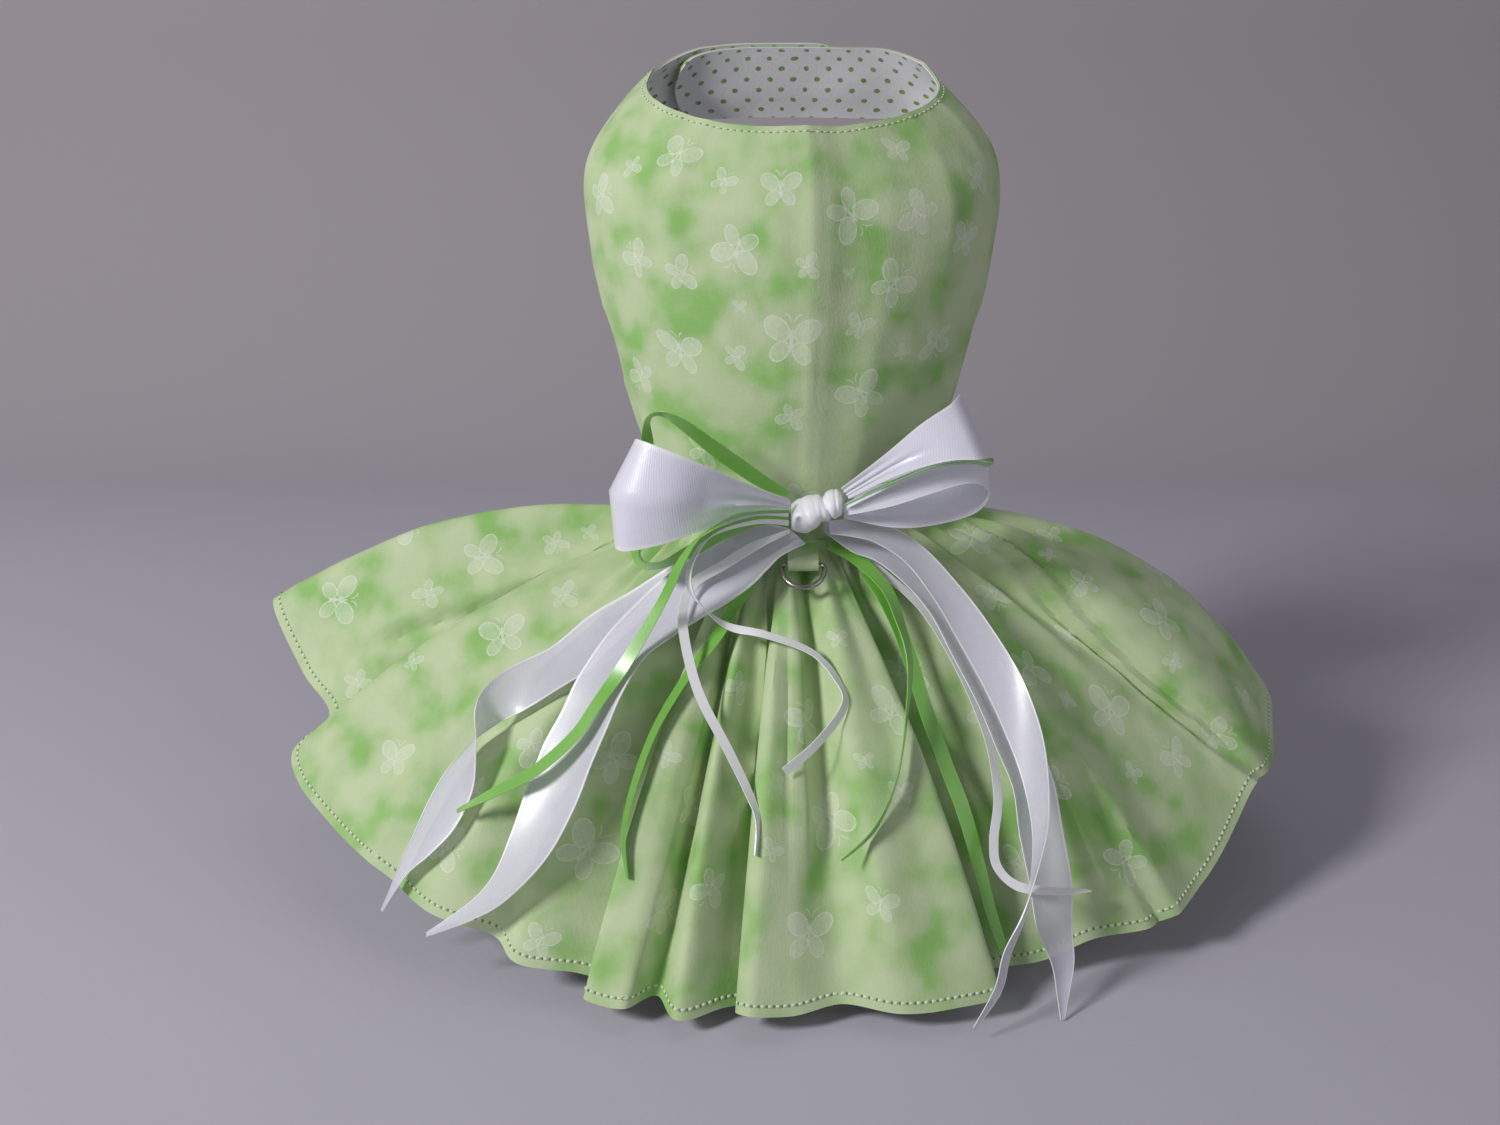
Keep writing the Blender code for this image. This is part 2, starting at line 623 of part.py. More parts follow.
def cover_point(azimuth, down, lift):
    """A point over the skirt's smooth cover, and the direction that stands off it."""
    radius, height, bulge = smooth_at(COVER, azimuth)
    turn = math.radians(azimuth)
    outward = Vector((math.sin(turn), -math.cos(turn), 0.0))
    waist = Vector((WAIST_HALF_WIDTH * math.sin(turn), -WAIST_HALF_DEPTH * math.cos(turn), WAIST_HEIGHT))
    hem = outward * radius + Vector((0.0, 0.0, height))
    rise = slope_normal(waist, hem, outward)
    return waist.lerp(hem, down) + rise * (bulge * 4 * down * (1 - down) + lift), rise


def air_stations(rows):
    """Centres and width vectors of a ribbon that hangs in the air."""
    stations = []
    for x, y, z, width, lean, tip in rows:
        lean, tip = math.radians(lean), math.radians(tip)
        across = Vector((math.sin(lean) * math.cos(tip), -math.sin(tip), math.cos(lean) * math.cos(tip)))
        stations.append((Vector((x, y, z)), across * width))
    return stations


def laid_stations(rows):
    """Centres and width vectors of a ribbon laid over the skirt, turned about its own length."""
    points = [cover_point(azimuth, down, lift) for azimuth, down, lift, width, turn in rows]
    stations = []
    for k, (centre, rise) in enumerate(points):
        along = points[min(k + 1, len(points) - 1)][0] - points[max(k - 1, 0)][0]
        flat = along.cross(rise).normalized()
        up = flat.cross(along).normalized()
        turn = math.radians(rows[k][4])
        stations.append((centre, (flat * math.cos(turn) + up * math.sin(turn)) * rows[k][3]))
    return stations


def joined_stations(air, laid):
    """A stretch in the air followed by a laid stretch, with the width turned the same way in both."""
    over, resting = air_stations(air), laid_stations(laid)
    if over and over[-1][1].dot(resting[0][1]) < 0:
        over = [(centre, -width) for centre, width in over]
    return over + resting


def crease_height(share, across):
    """Height of the left loop's crease, sharp along the middle and highest at the loop's far end."""
    t = (share - CREASE_FROM) / (CREASE_TO - CREASE_FROM)
    return LEFT_CREASE * max(math.sin(math.pi * min(max(t, 0.0), 1.0)), 0.0) * (1 - abs(across))


def make_ribbon(name, kind, collection, stations, faces_across=1, cup=0.0, creased=False):
    """A ribbon through its stations, with a wall of its own and its middle standing off by the cup."""
    rows = [list(centre) + list(width) for centre, width in stations]
    count = (len(rows) - 1) * RIBBON_STEPS
    smooth = [smooth_row(rows, k / RIBBON_STEPS) for k in range(count + 1)]
    centres = [Vector(row[:3]) for row in smooth]
    widths = [Vector(row[3:]) for row in smooth]
    columns = []
    for k, (centre, width) in enumerate(zip(centres, widths)):
        along = centres[min(k + 1, count)] - centres[max(k - 1, 0)]
        off = along.cross(width).normalized()
        column = []
        for t in shares(faces_across):
            across = 2 * t - 1
            lift = width.length * cup * (1 - across * across)
            lift += crease_height(k / count, across) if creased else 0.0
            column.append(centre + width * (across / 2) + off * lift)
        columns.append(column)
    mesh = bmesh.new()
    grid_faces(mesh, columns)
    return add_object(name, mesh, kind, collection)


def make_knot(collection):
    mesh = bmesh.new()
    rings = []
    for x, height, half_height, y, half_depth in KNOT:
        ring = []
        for k in range(KNOT_SIDES):
            turn = 2 * math.pi * k / KNOT_SIDES
            point = Vector((x, y + half_depth * math.cos(turn), height + half_height * math.sin(turn)))
            ring.append(mesh.verts.new(point * MM))
        rings.append(ring)
    for left, right in zip(rings, rings[1:]):
        for k in range(KNOT_SIDES):
            after = (k + 1) % KNOT_SIDES
            mesh.faces.new((left[k], left[after], right[after], right[k]))
    mesh.faces.new(reversed(rings[0]))
    mesh.faces.new(rings[-1])
    bmesh.ops.recalc_face_normals(mesh, faces=mesh.faces)
    return add_object("bow_knot", mesh, "satin", collection, offset=None)


def ring_outline():
    """The ring's centreline in its own plane: x across, reach away from the bar."""
    half = RING_INSIDE / 2 + RING_WIRE
    bend = RING_CORNER * (1 - math.sqrt(0.5))
    points = [(0.0, 0.0), (half - RING_CORNER, 0.0), (half - bend, bend)]
    for k in range(RING_STEPS + 1):
        turn = math.pi * k / RING_STEPS
        points.append((half * math.cos(turn), RING_CORNER + (RING_REACH - RING_CORNER) * math.sin(turn)))
    points += [(bend - half, bend), (RING_CORNER - half, 0.0)]
    return points


def make_ring(collection):
    slope = math.radians(RING_REST_ANGLE)
    curve = bpy.data.curves.new("d_ring", "CURVE")
    curve.dimensions = "3D"
    curve.bevel_depth = RING_WIRE * MM
    curve.bevel_resolution = 2
    points = ring_outline()
    path = curve.splines.new("POLY")
    path.points.add(len(points) - 1)
    for point, (x, reach) in zip(path.points, points):
        y = RING_BAR_Y - reach * math.cos(slope)
        z = RING_BAR_Z - reach * math.sin(slope)
        point.co = ((RING_X + x) * MM, y * MM, z * MM, 1.0)
    path.use_cyclic_u = True
    made = bpy.data.objects.new("d_ring", curve)
    made.data.materials.append(material("d_ring", "steel"))
    collection.objects.link(made)
    return made


def make_tab(collection):
    """The strip that comes down from the seam, goes round the ring's bar and back up behind it."""
    turn_radius = RING_WIRE + RING_PLAY + CLOTH / 2
    top = Vector((0.0, TAB_TOP_Y, TAB_TOP_Z))
    bar = Vector((0.0, RING_BAR_Y, RING_BAR_Z))
    down = (bar - top).normalized()
    above = Vector((0.0, down.z, -down.y))
    start = CLOTH / 2 + SEAM_GAP / 2
    path = [top + above * start]
    for k in range(TAB_TURN_STEPS + 1):
        turn = math.radians(TAB_WRAP * (1 - 2 * k / TAB_TURN_STEPS))
        path.append(bar + above * (turn_radius * math.sin(turn)) + down * (turn_radius * math.cos(turn)))
    path.append(top - above * start)
    half = Vector((TAB_WIDTH / 2, 0.0, 0.0))
    middle = Vector((RING_X, 0.0, 0.0))
    mesh = bmesh.new()
    grid_faces(mesh, [[middle + point - half, middle + point + half] for point in path])
    return add_object("dring_tab", mesh, "print", collection)


def make_bow(collection):
    make_knot(collection)
    for name, rows in (("loop_left", LOOP_LEFT), ("loop_right_upper", LOOP_RIGHT_UPPER),
                       ("loop_right_lower", LOOP_RIGHT_LOWER)):
        make_ribbon("bow_" + name, "satin", collection, air_stations(rows), LOOP_FACES,
                    creased=name == "loop_left")
    for name, air, laid in (("left_front", TAIL_LEFT_FRONT_AIR, TAIL_LEFT_FRONT),
                            ("left_back", (), TAIL_LEFT_BACK),
                            ("right_front", TAIL_RIGHT_FRONT_AIR, TAIL_RIGHT_FRONT),
                            ("right_back", TAIL_RIGHT_BACK_AIR, TAIL_RIGHT_BACK)):
        make_ribbon("tail_" + name, "satin", collection, joined_stations(air, laid), WIDE_FACES, CUP)


def make_narrow_ribbons(collection):
    for name, air, laid in (("curl", WHITE_CURL_AIR, WHITE_CURL),
                            ("straight", WHITE_STRAIGHT_AIR, WHITE_STRAIGHT), ("under", (), WHITE_UNDER)):
        make_ribbon("white_" + name, "satin", collection, joined_stations(air, laid))
    for name, rows in (("left", GREEN_LOOP_LEFT), ("right", GREEN_LOOP_RIGHT)):
        make_ribbon("green_loop_" + name, "green satin", collection, air_stations(rows))
    for number, air, laid in ((1, GREEN_TAIL_1_AIR, GREEN_TAIL_1), (2, (), GREEN_TAIL_2),
                              (3, (), GREEN_TAIL_3), (4, (), GREEN_TAIL_4)):
        make_ribbon("green_tail_%d" % number, "green satin", collection, joined_stations(air, laid))


def main():
    clear_scene()
    dress = bpy.data.collections.new("dog_dress")
    bpy.context.scene.collection.children.link(dress)
    bodice_layer("bodice_outer", "print", dress, 0.0, 0.0)
    bodice_layer("bodice_lining", "dots", dress, CLOTH + LINING_GAP, LINING_SHORT)
    make_skirt(dress)
    make_tab(dress)
    make_ring(dress)
    make_bow(dress)
    make_narrow_ribbons(dress)


main()
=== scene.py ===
"""Dog dress: printed cotton bodice and gathered skirt, dotted lining, ribbon bow and leash ring.

Tables are in millimetres and degrees, and MM turns them into Blender's metres. Azimuth is measured
round the body: 0 faces the viewer (-Y), 90 is +X and -90 is -X. The origin is the centre of the neck
opening, where the wearer holds the dress up.
"""

import math
import random

import bmesh
import bpy
import numpy as np
from bpy.props import FloatProperty, FloatVectorProperty, PointerProperty
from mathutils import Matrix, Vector, noise


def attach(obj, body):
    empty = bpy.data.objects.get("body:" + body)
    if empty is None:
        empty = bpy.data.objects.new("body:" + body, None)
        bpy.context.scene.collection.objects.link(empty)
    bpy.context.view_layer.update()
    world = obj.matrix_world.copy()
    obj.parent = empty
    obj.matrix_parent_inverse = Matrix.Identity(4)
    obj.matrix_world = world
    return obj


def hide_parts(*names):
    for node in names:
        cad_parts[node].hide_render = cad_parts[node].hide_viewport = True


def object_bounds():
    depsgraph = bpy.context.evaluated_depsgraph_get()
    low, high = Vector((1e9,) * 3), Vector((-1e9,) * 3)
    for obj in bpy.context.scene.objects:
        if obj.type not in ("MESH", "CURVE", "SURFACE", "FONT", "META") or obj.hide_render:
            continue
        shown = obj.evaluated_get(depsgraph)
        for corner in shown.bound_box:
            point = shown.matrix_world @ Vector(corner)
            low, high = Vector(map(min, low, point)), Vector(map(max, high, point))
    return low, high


bl_info = {
    "name": "Dog dress",
    "version": (1, 0, 0),
    "blender": (4, 5, 0),
    "location": "3D View > Sidebar > Dog dress",
    "description": "Builds a lined dog dress with a gathered skirt, a ribbon bow and a leash ring",
    "category": "Add Mesh",
}

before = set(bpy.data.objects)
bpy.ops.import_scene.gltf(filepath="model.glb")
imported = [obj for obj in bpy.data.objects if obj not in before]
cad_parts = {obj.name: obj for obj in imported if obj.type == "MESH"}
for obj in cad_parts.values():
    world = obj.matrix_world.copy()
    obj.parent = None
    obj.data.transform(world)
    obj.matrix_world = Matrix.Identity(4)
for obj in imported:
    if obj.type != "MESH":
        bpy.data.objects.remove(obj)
CAD_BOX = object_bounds()

MM = 0.001
MERGE = 0.02  # points nearer than this become one
SHARP_EDGE = 50.0  # edges that turn by more degrees than this are shaded as sharp
CLOTH = 1.0  # thickness of the tab's solid, whose middle the tab's strip follows
SEAM_GAP = 0.3  # how far the tab's two ends stand apart at the seam

# Bodice, from the neck rim down to the waist seam. The back is the far side, at the throat and belly.
RINGS = (
    # height at front, height at back, half width, depth to front, depth to back, squareness of the back
    (-13.2, 13.2, 49.5, 36.0, 34.0, 0.62), (-24.8, -0.8, 63.0, 41.0, 40.0, 0.72),
    (-38.8, -16.8, 71.0, 46.0, 47.0, 0.85), (-54.8, -42.8, 70.5, 48.0, 50.0, 0.95),
    (-76.8, -70.8, 66.5, 48.5, 50.0, 1.0), (-106.8, -104.8, 58.5, 47.5, 49.0, 1.0),
    (-132.8, -131.8, 50.0, 45.0, 46.0, 1.0), (-149.4, -149.4, 46.0, 44.0, 45.0, 1.0),
)
PANEL_EDGE = 82.0  # azimuth where the straps leave the panel
ARMHOLE_TOP = 0.571  # shares of the way down the rings at the armhole's closed end
ARMHOLE_FOOT = 0.69
ARMHOLE_DEPTH = 8.0  # how far its round end cuts into the panel, degrees
NECK_STRAP_FOOT = 0.24  # lower edge of the neck strap at the throat
NECK_STRAP_TAPER = 70.0  # azimuth over which the shoulder narrows to the strap
BELLY_STRAP_TOP = 0.72
STRAP_CORNER = 6.0  # radius of the strap ends' corners
STRAP_BODY_RADIUS = 40.0  # radius of the body under the strap ends
OVERLAP_SHIFT = 3.4  # the right straps pass inside the left ones by this much
OVERLAP_FROM, OVERLAP_TO = 145.0, 172.0
# The left and right straps' ends: azimuth, and how far the lower corner is cut back, degrees.
NECK_ENDS = ((-190.0, 4.0), (226.0, 17.0))
BELLY_ENDS = ((-194.0, 0.0), (214.0, 0.0))
FACES_ACROSS = 20  # faces of each layer: across the panel, above, beside and below the armholes
FACES_ABOVE, FACES_AT_ARMHOLE, FACES_BELOW = 7, 4, 4
FACES_ALONG_STRAP = 11

# Skirt, one gathered strip from the rear left edge to the rear right edge.
WAIST_HALF_WIDTH = 46.5
WAIST_HALF_DEPTH = 45.0
WAIST_HEIGHT = -150.3
FOLDS = (
    # azimuth at waist, azimuth at hem, hem radius, hem height, bulge
    (-125, -126, 150, -232, 8), (-119, -119, 170, -226, 10), (-113, -113, 158, -232, 2),
    (-107, -106, 182, -222, 10), (-101, -99, 170, -226, 4), (-93, -91, 194, -186, 13),
    (-86, -84, 181, -206, 10), (-80, -78, 170, -217, -2), (-75, -76, 184, -229, 9),
    (-67, -66, 173, -243, 9), (-58, -56, 163, -250, 6), (-49, -48, 159, -255, 9), (-42, -41, 148, -260, 3),
    (-37, -36, 150, -264, 9), (-32, -29, 140, -267, 2), (-28, -22, 136, -272, -1),
    (-24.5, -26.5, 148, -269, 8), (-21, -22, 147, -270, 8), (-17.5, -18.5, 137, -270, 0),
    (-14, -14.5, 146, -271, 9), (-10.5, -9.5, 135, -272, 1), (-8, -3.5, 126, -275, -3),
    (-4.5, -7.5, 139, -270.5, 8), (-1, -1, 140, -270.5, 8), (4, 6, 135, -270, 2), (8, 13, 143, -270, 9),
    (12, 20, 145, -270, 8), (16, 26, 145, -269.5, 8), (19.5, 22.5, 130, -270, -3), (23, 29, 133, -269, 0),
    (28, 36, 138, -269, 2), (35, 43, 144, -265, 6), (44, 50, 156, -262, 12), (52, 58, 163, -255, 9),
    (61, 66, 168, -243, 7), (67, 71, 171, -235, 3), (73, 75, 177, -233, 17), (82, 83, 181, -228, 21),
    (92, 91, 184, -222, 22), (101, 101, 176, -224, 14), (107, 107, 184, -224, 14), (113, 114, 160, -230, 4),
    (119, 119, 170, -228, 10), (125, 126, 150, -232, 8),
)
GATHERS = 25
GATHERED_ARC = 250.0  # degrees of the waist that the gathers cover
GATHER_HEIGHT = 3.0
GATHER_LENGTH = 0.26  # share of the way down over which the gathers die out
GATHER_GROWTH = 0.09  # share of the way down over which they reach their full height

# The smooth cover that the ribbons are laid on, just outside the folds.
COVER = (
    # azimuth, hem radius, hem height, bulge
    (-90, 192, -198, 11), (-76, 184, -230, 10), (-52, 161, -252, 9), (-25, 148, -269, 9),
    (0, 141, -270.5, 9), (25, 147, -270, 9), (58, 161, -258, 12), (80, 184, -232, 19),
)

# Bow knot, a bundle of wrapped ribbon lofted from left to right.
KNOT = (
    # x, height, half height, y, half depth
    (-0.8, -136.6, 3.8, -54.0, 5.2), (1.0, -136.4, 5.0, -53.3, 7.0), (4.5, -136.0, 5.9, -53.0, 7.8),
    (7.6, -134.9, 5.2, -53.0, 7.4), (9.3, -134.0, 4.2, -53.0, 6.6), (11.5, -133.1, 4.8, -53.0, 7.0),
    (14.0, -132.4, 4.7, -53.0, 6.6), (15.8, -132.1, 3.6, -53.5, 5.0),
)
KNOT_SIDES = 48

# Ribbons in the air. Lean tips the ribbon's upper edge towards +X, tip brings it towards the viewer.
LOOP_LEFT = (
    # x, y, z, width, lean, tip
    (-1.6, -50.5, -135.2, 4.5, 0, 0), (-12.0, -51.0, -134.0, 9, 4, 0), (-27.0, -52.0, -132.0, 18, 8, 0),
    (-42.0, -55.0, -130.0, 28, 11, 0), (-51.0, -61.5, -126.4, 34, 12, 0),
    (-54.4, -69.0, -124.2, 36.5, 12, 0), (-50.5, -76.0, -123.6, 36.5, 12, 0),
    (-40.0, -78.5, -123.6, 30, 10, 0), (-30.0, -76.5, -124.0, 22, 8, 0), (-20.0, -71.0, -125.6, 13.5, 6, 0),
    (-10.0, -64.5, -128.2, 7, 4, 0), (-1.6, -57.5, -131.8, 4.5, 0, 0),
)
LOOP_RIGHT_UPPER = (
    (16.9, -50.0, -131.4, 4.5, -12, 0), (28.0, -48.6, -125.4, 10, -32, 0),
    (41.0, -51.0, -117.6, 16, -30, 0), (52.0, -57.5, -107.4, 17, -26, -8),
    (56.8, -66.0, -102.8, 22, -26, -14), (52.5, -74.0, -102.9, 19.5, -28, -20),
    (42.5, -75.5, -106.2, 14, -38, -20), (30.5, -72.4, -113.8, 8, -43, -16),
    (16.6, -58.5, -127.2, 4.5, -36, 0),
)
LOOP_RIGHT_LOWER = (
    (17.0, -56.5, -133.4, 4, -10, 0), (30.5, -66.0, -125.5, 8, -18, 0), (43.3, -70.3, -119.2, 9, -14, 0),
    (55.5, -70.0, -116.6, 8, -8, 0), (62.4, -65.8, -120.2, 10, -4, 0), (59.0, -60.6, -127.0, 13, 0, 0),
    (46.0, -57.5, -130.4, 17, 0, 8), (32.6, -55.5, -134.0, 12, -4, 4), (16.6, -51.5, -135.4, 5, -8, 0),
)
GREEN_LOOP_LEFT = (
    (-1.6, -53.6, -129.0, 2.2, 35, 0), (-10.0, -56.5, -124.0, 4.6, 45, 0), (-24.0, -61.5, -112.8, 5, 42, 0),
    (-36.0, -65.0, -102.6, 5, 20, 35), (-43.0, -63.0, -99.6, 5, 0, 60), (-47.5, -57.0, -103.0, 5, -35, 65),
    (-48.5, -50.0, -113.0, 5, -75, 30), (-50.0, -50.0, -128.0, 5, -90, 20),
    (-52.5, -54.0, -144.0, 5, -125, 10), (-50.5, -64.5, -149.2, 5, -165, -35),
    (-43.5, -71.5, -147.6, 5, -185, -45), (-33.0, -71.5, -142.6, 5, -200, -20),
    (-24.0, -67.5, -138.4, 4.5, -195, 0), (-12.5, -61.2, -136.0, 3.5, -190, 0),
    (-1.7, -58.4, -136.4, 2.2, -180, 0),
)
GREEN_LOOP_RIGHT = (
    (16.6, -60.0, -130.8, 2.2, 0, 60), (30.0, -69.6, -121.2, 4.5, 0, 68), (43.0, -74.3, -114.2, 5, 0, 70),
    (55.5, -73.9, -112.8, 5, 0, 66), (60.8, -72.2, -114.0, 4.0, -10, 64),
    (63.2, -67.4, -114.1, 3.2, -12, 60), (61.2, -61.7, -115.2, 4, -12, 62),
    (46.0, -58.4, -118.8, 4.5, 0, 70), (30.0, -54.4, -124.6, 4, 0, 70), (16.6, -54.4, -128.4, 2.2, 0, 60),
)

# Ribbons laid on the skirt: an optional stretch in the air, then the stretch over the cover.
TAIL_LEFT_FRONT_AIR = (
    # x, y, z, width, lean, tip
    (1.1, -56.8, -142.4, 8, -48, 0),
)
TAIL_LEFT_FRONT = (
    # azimuth, share of the way down, lift, width, turn
    (-6.5, 0.015, 12.5, 12.5, 0), (-12.5, 0.04, 12, 17.5, 0), (-18, 0.08, 11, 20.5, 0),
    (-24, 0.125, 10, 22, 0), (-29, 0.17, 9, 22, 0), (-33, 0.23, 8.8, 21, 0), (-36.5, 0.32, 9.2, 19, 0),
    (-37.5, 0.42, 8.8, 20, 0), (-37.5, 0.5, 7.8, 20.5, 0), (-37.8, 0.58, 6.8, 21, 3),
    (-37.5, 0.68, 6.2, 20, 5), (-37.8, 0.78, 6, 18, 0), (-39.5, 0.88, 5.5, 13, -10),
    (-42, 0.95, 5, 7.5, -10), (-46, 1.04, 5, 1.5, 0),
)
TAIL_LEFT_BACK = (
    (-13, 0.03, 7, 8, 0), (-20, 0.06, 6.5, 13, 0), (-28, 0.1, 5, 18, 0), (-35, 0.155, 3.5, 21, 0),
    (-40.5, 0.23, 3, 23, 0), (-46, 0.32, 3.3, 24, 0), (-50, 0.42, 3, 21, 0), (-52.5, 0.51, 5.5, 17, 25),
    (-53, 0.57, 8, 13, 62), (-53, 0.61, 8, 12, 100), (-52.5, 0.67, 7, 16, 150), (-51.8, 0.75, 5.5, 18, 180),
    (-51.5, 0.83, 5, 17, 188), (-52, 0.9, 4.5, 12.5, 186), (-52.5, 0.96, 4.5, 7, 182),
    (-52.5, 1.01, 4.5, 3.5, 180), (-52.5, 1.06, 4.5, 1.5, 180),
)
TAIL_RIGHT_FRONT = (
    (22, 0.0, 14, 7, 0), (30, 0.02, 13, 9, 0), (38, 0.09, 11.5, 11, 0), (40, 0.2, 11, 12, -10),
    (40, 0.3, 11, 12.5, -25), (39.5, 0.42, 11.5, 12.5, -45), (38.5, 0.53, 11.5, 12, -62),
    (37, 0.62, 11.5, 10.5, -76), (34.5, 0.71, 12.3, 9, -90), (32, 0.78, 11.8, 8, -105),
    (29, 0.86, 10, 8, -122), (26, 0.92, 8, 7, -132), (24, 0.98, 7.5, 5, -138), (20.5, 1.04, 7, 1.5, -140),
)
TAIL_RIGHT_BACK = (
    (22, 0.02, 8, 7, 0), (31, 0.05, 7.5, 10, 0), (38, 0.13, 6.5, 13, 0), (40.5, 0.22, 6, 16, 0),
    (40.5, 0.32, 5, 18, 0), (40.5, 0.44, 4, 19, 0), (40, 0.54, 3, 19, 0), (39.5, 0.63, 2.5, 18, 0),
    (37.5, 0.72, 2.5, 18, 0), (36, 0.82, 2.5, 17, 0), (34.5, 0.9, 2.5, 14, 0), (34, 0.97, 3, 9, 0),
    (33, 1.02, 3, 5, 0), (32, 1.07, 3, 1.5, 0),
)
TAIL_RIGHT_FRONT_AIR = (
    (12.0, -54.5, -140.1, 4.5, 180, 35),
)
TAIL_RIGHT_BACK_AIR = (
    (10.5, -50.0, -140.9, 4.5, 180, 35),
)
WHITE_CURL_AIR = (
    (-1.8, -61.2, -136.6, 2.4, 0, 30), (-11.8, -68.2, -134.0, 3.2, 0, 50),
    (-23.8, -76.0, -134.8, 3.2, 20, 55), (-30.4, -79.4, -139.2, 3.2, 50, 55),
    (-34.0, -79.4, -147.7, 3.2, 80, 55), (-32.2, -77.4, -156.9, 3.2, 110, 45),
    (-22.7, -72.2, -168.1, 3.2, 155, 20),
)
WHITE_CURL = (
    (-7, 0.225, 4.5, 3.2, 30), (4, 0.26, 2.8, 3.2, 38), (9, 0.32, 2.8, 3.2, 42), (10, 0.38, 2.8, 3.2, 42),
    (4, 0.46, 2.8, 3.2, 42), (-2, 0.52, 2.8, 3.2, 42),
)
WHITE_STRAIGHT_AIR = (
    (-1.3, -59.3, -139.9, 2.4, 0, 45),
)
WHITE_STRAIGHT = (
    (-12, 0.045, 16.2, 3.2, 0), (-20, 0.095, 14.2, 3.2, 15), (-26, 0.14, 13, 3.2, 35),
    (-27, 0.19, 12, 3.2, 45), (-24.5, 0.26, 11.4, 3.2, 30), (-19, 0.37, 7.4, 3.2, 20),
    (-12, 0.48, 3.8, 3.2, 30), (-8, 0.56, 2.8, 3.2, 40), (-6, 0.62, 2.8, 3.2, 60), (-6, 0.69, 2.8, 3.2, 78),
)
WHITE_UNDER = (
    (24, 0.04, 3.6, 3.2, 0), (31, 0.1, 2.8, 3.2, 0), (37, 0.2, 1.5, 3.2, 0), (38, 0.35, 0, 3.2, 0),
    (37, 0.5, -1, 3.2, 0), (34, 0.62, -0.5, 3.2, 0), (30.5, 0.7, 0.5, 3.2, 0), (29, 0.755, 3, 3.2, 0),
    (30.5, 0.805, 5.6, 3.2, 0), (35.5, 0.84, 5.8, 3.2, 30), (40, 0.865, 5.5, 3.2, 60),
)
GREEN_TAIL_1_AIR = (
    (-1.6, -62.6, -132.2, 2.2, -20, 45), (-13.2, -70.6, -130.2, 4, -5, 60),
    (-21.5, -76.4, -130.5, 4.5, 15, 55), (-30.4, -80.6, -135.2, 4.5, 42, 45),
    (-36.2, -81.0, -143.2, 4.5, 65, 40), (-42.8, -79.8, -157.4, 4.5, 72, 30),
)
GREEN_TAIL_1 = (
    (-33, 0.36, 13.6, 4.5, 10), (-35, 0.46, 12.4, 4.5, 0), (-36.5, 0.54, 11.4, 4.5, 0),
    (-40, 0.64, 10.8, 4.5, 0), (-44, 0.72, 10.8, 4, 0), (-48, 0.8, 10, 1.5, 0),
)
GREEN_TAIL_2 = (
    (-8.5, 0.02, 4.6, 3.5, 0), (-12, 0.075, 4, 4.5, 0), (-16, 0.14, 3.2, 5, -10),
    (-19.5, 0.24, 3.2, 5, -18), (-23.5, 0.34, 3.2, 5, -30), (-26, 0.46, 3.4, 5, -36),
    (-26.5, 0.58, 3.4, 5, -40), (-26, 0.68, 3, 4, -45), (-24, 0.76, 2.2, 1.5, -50),
)
GREEN_TAIL_3 = (
    (14, 0.01, 5.2, 4, 0), (22, 0.05, 5.0, 5, 0), (27.5, 0.13, 5, 5, 10), (27.5, 0.21, 4.5, 5, 25),
    (26, 0.3, 4.5, 5, 40), (22, 0.4, 5, 5, 60), (17, 0.54, 5, 5, 70), (12, 0.64, 4.5, 4, 70),
    (6.5, 0.7, 4, 1.5, 70),
)
GREEN_TAIL_4 = (
    (23.5, 0.085, 3.6, 3.5, 0), (26.3, 0.14, 3.0, 4.5, 0), (28.3, 0.22, 0.6, 5.4, 0),
    (28.5, 0.3, -1.5, 5.4, 0), (28, 0.4, -3, 5.4, 0), (28, 0.52, -3.5, 5.4, 0), (28.5, 0.62, -4, 5.4, 0),
    (28.5, 0.72, -5, 4.8, 0), (28.5, 0.82, -6, 4.2, 0), (29, 0.9, -7, 3.4, 0), (29.5, 0.94, -7, 1.5, 0),
)
CUP = 0.06  # how far a wide ribbon's middle stands off, as a share of its width
LEFT_CREASE = 5.2  # height of the crease along the left loop's middle
CREASE_FROM, CREASE_TO = 0.2, 0.74  # shares of the loop's length that it covers

# Leash ring and the fabric tab that holds it.
RING_X = 3.2
RING_BAR_Y = -57.0
RING_BAR_Z = -152.4
RING_WIRE = 0.85  # radius of the wire
RING_INSIDE = 12.7  # width inside the ring
RING_REACH = 9.6  # from the middle of the bar to the middle of the bow
RING_CORNER = 1.6  # radius of the bends between the bar and the bow
RING_REST_ANGLE = 33.0  # slope below level at which the ring rests
RING_STEPS = 42
RING_PLAY = 0.4  # clearance between the bar and the fabric round it
TAB_WIDTH = 10.2
TAB_TOP_Y = -48.4
TAB_TOP_Z = -148.2
TAB_TURN_STEPS = 8
TAB_WRAP = 105.0  # degrees of the turn round the bar, either way from its lowest point

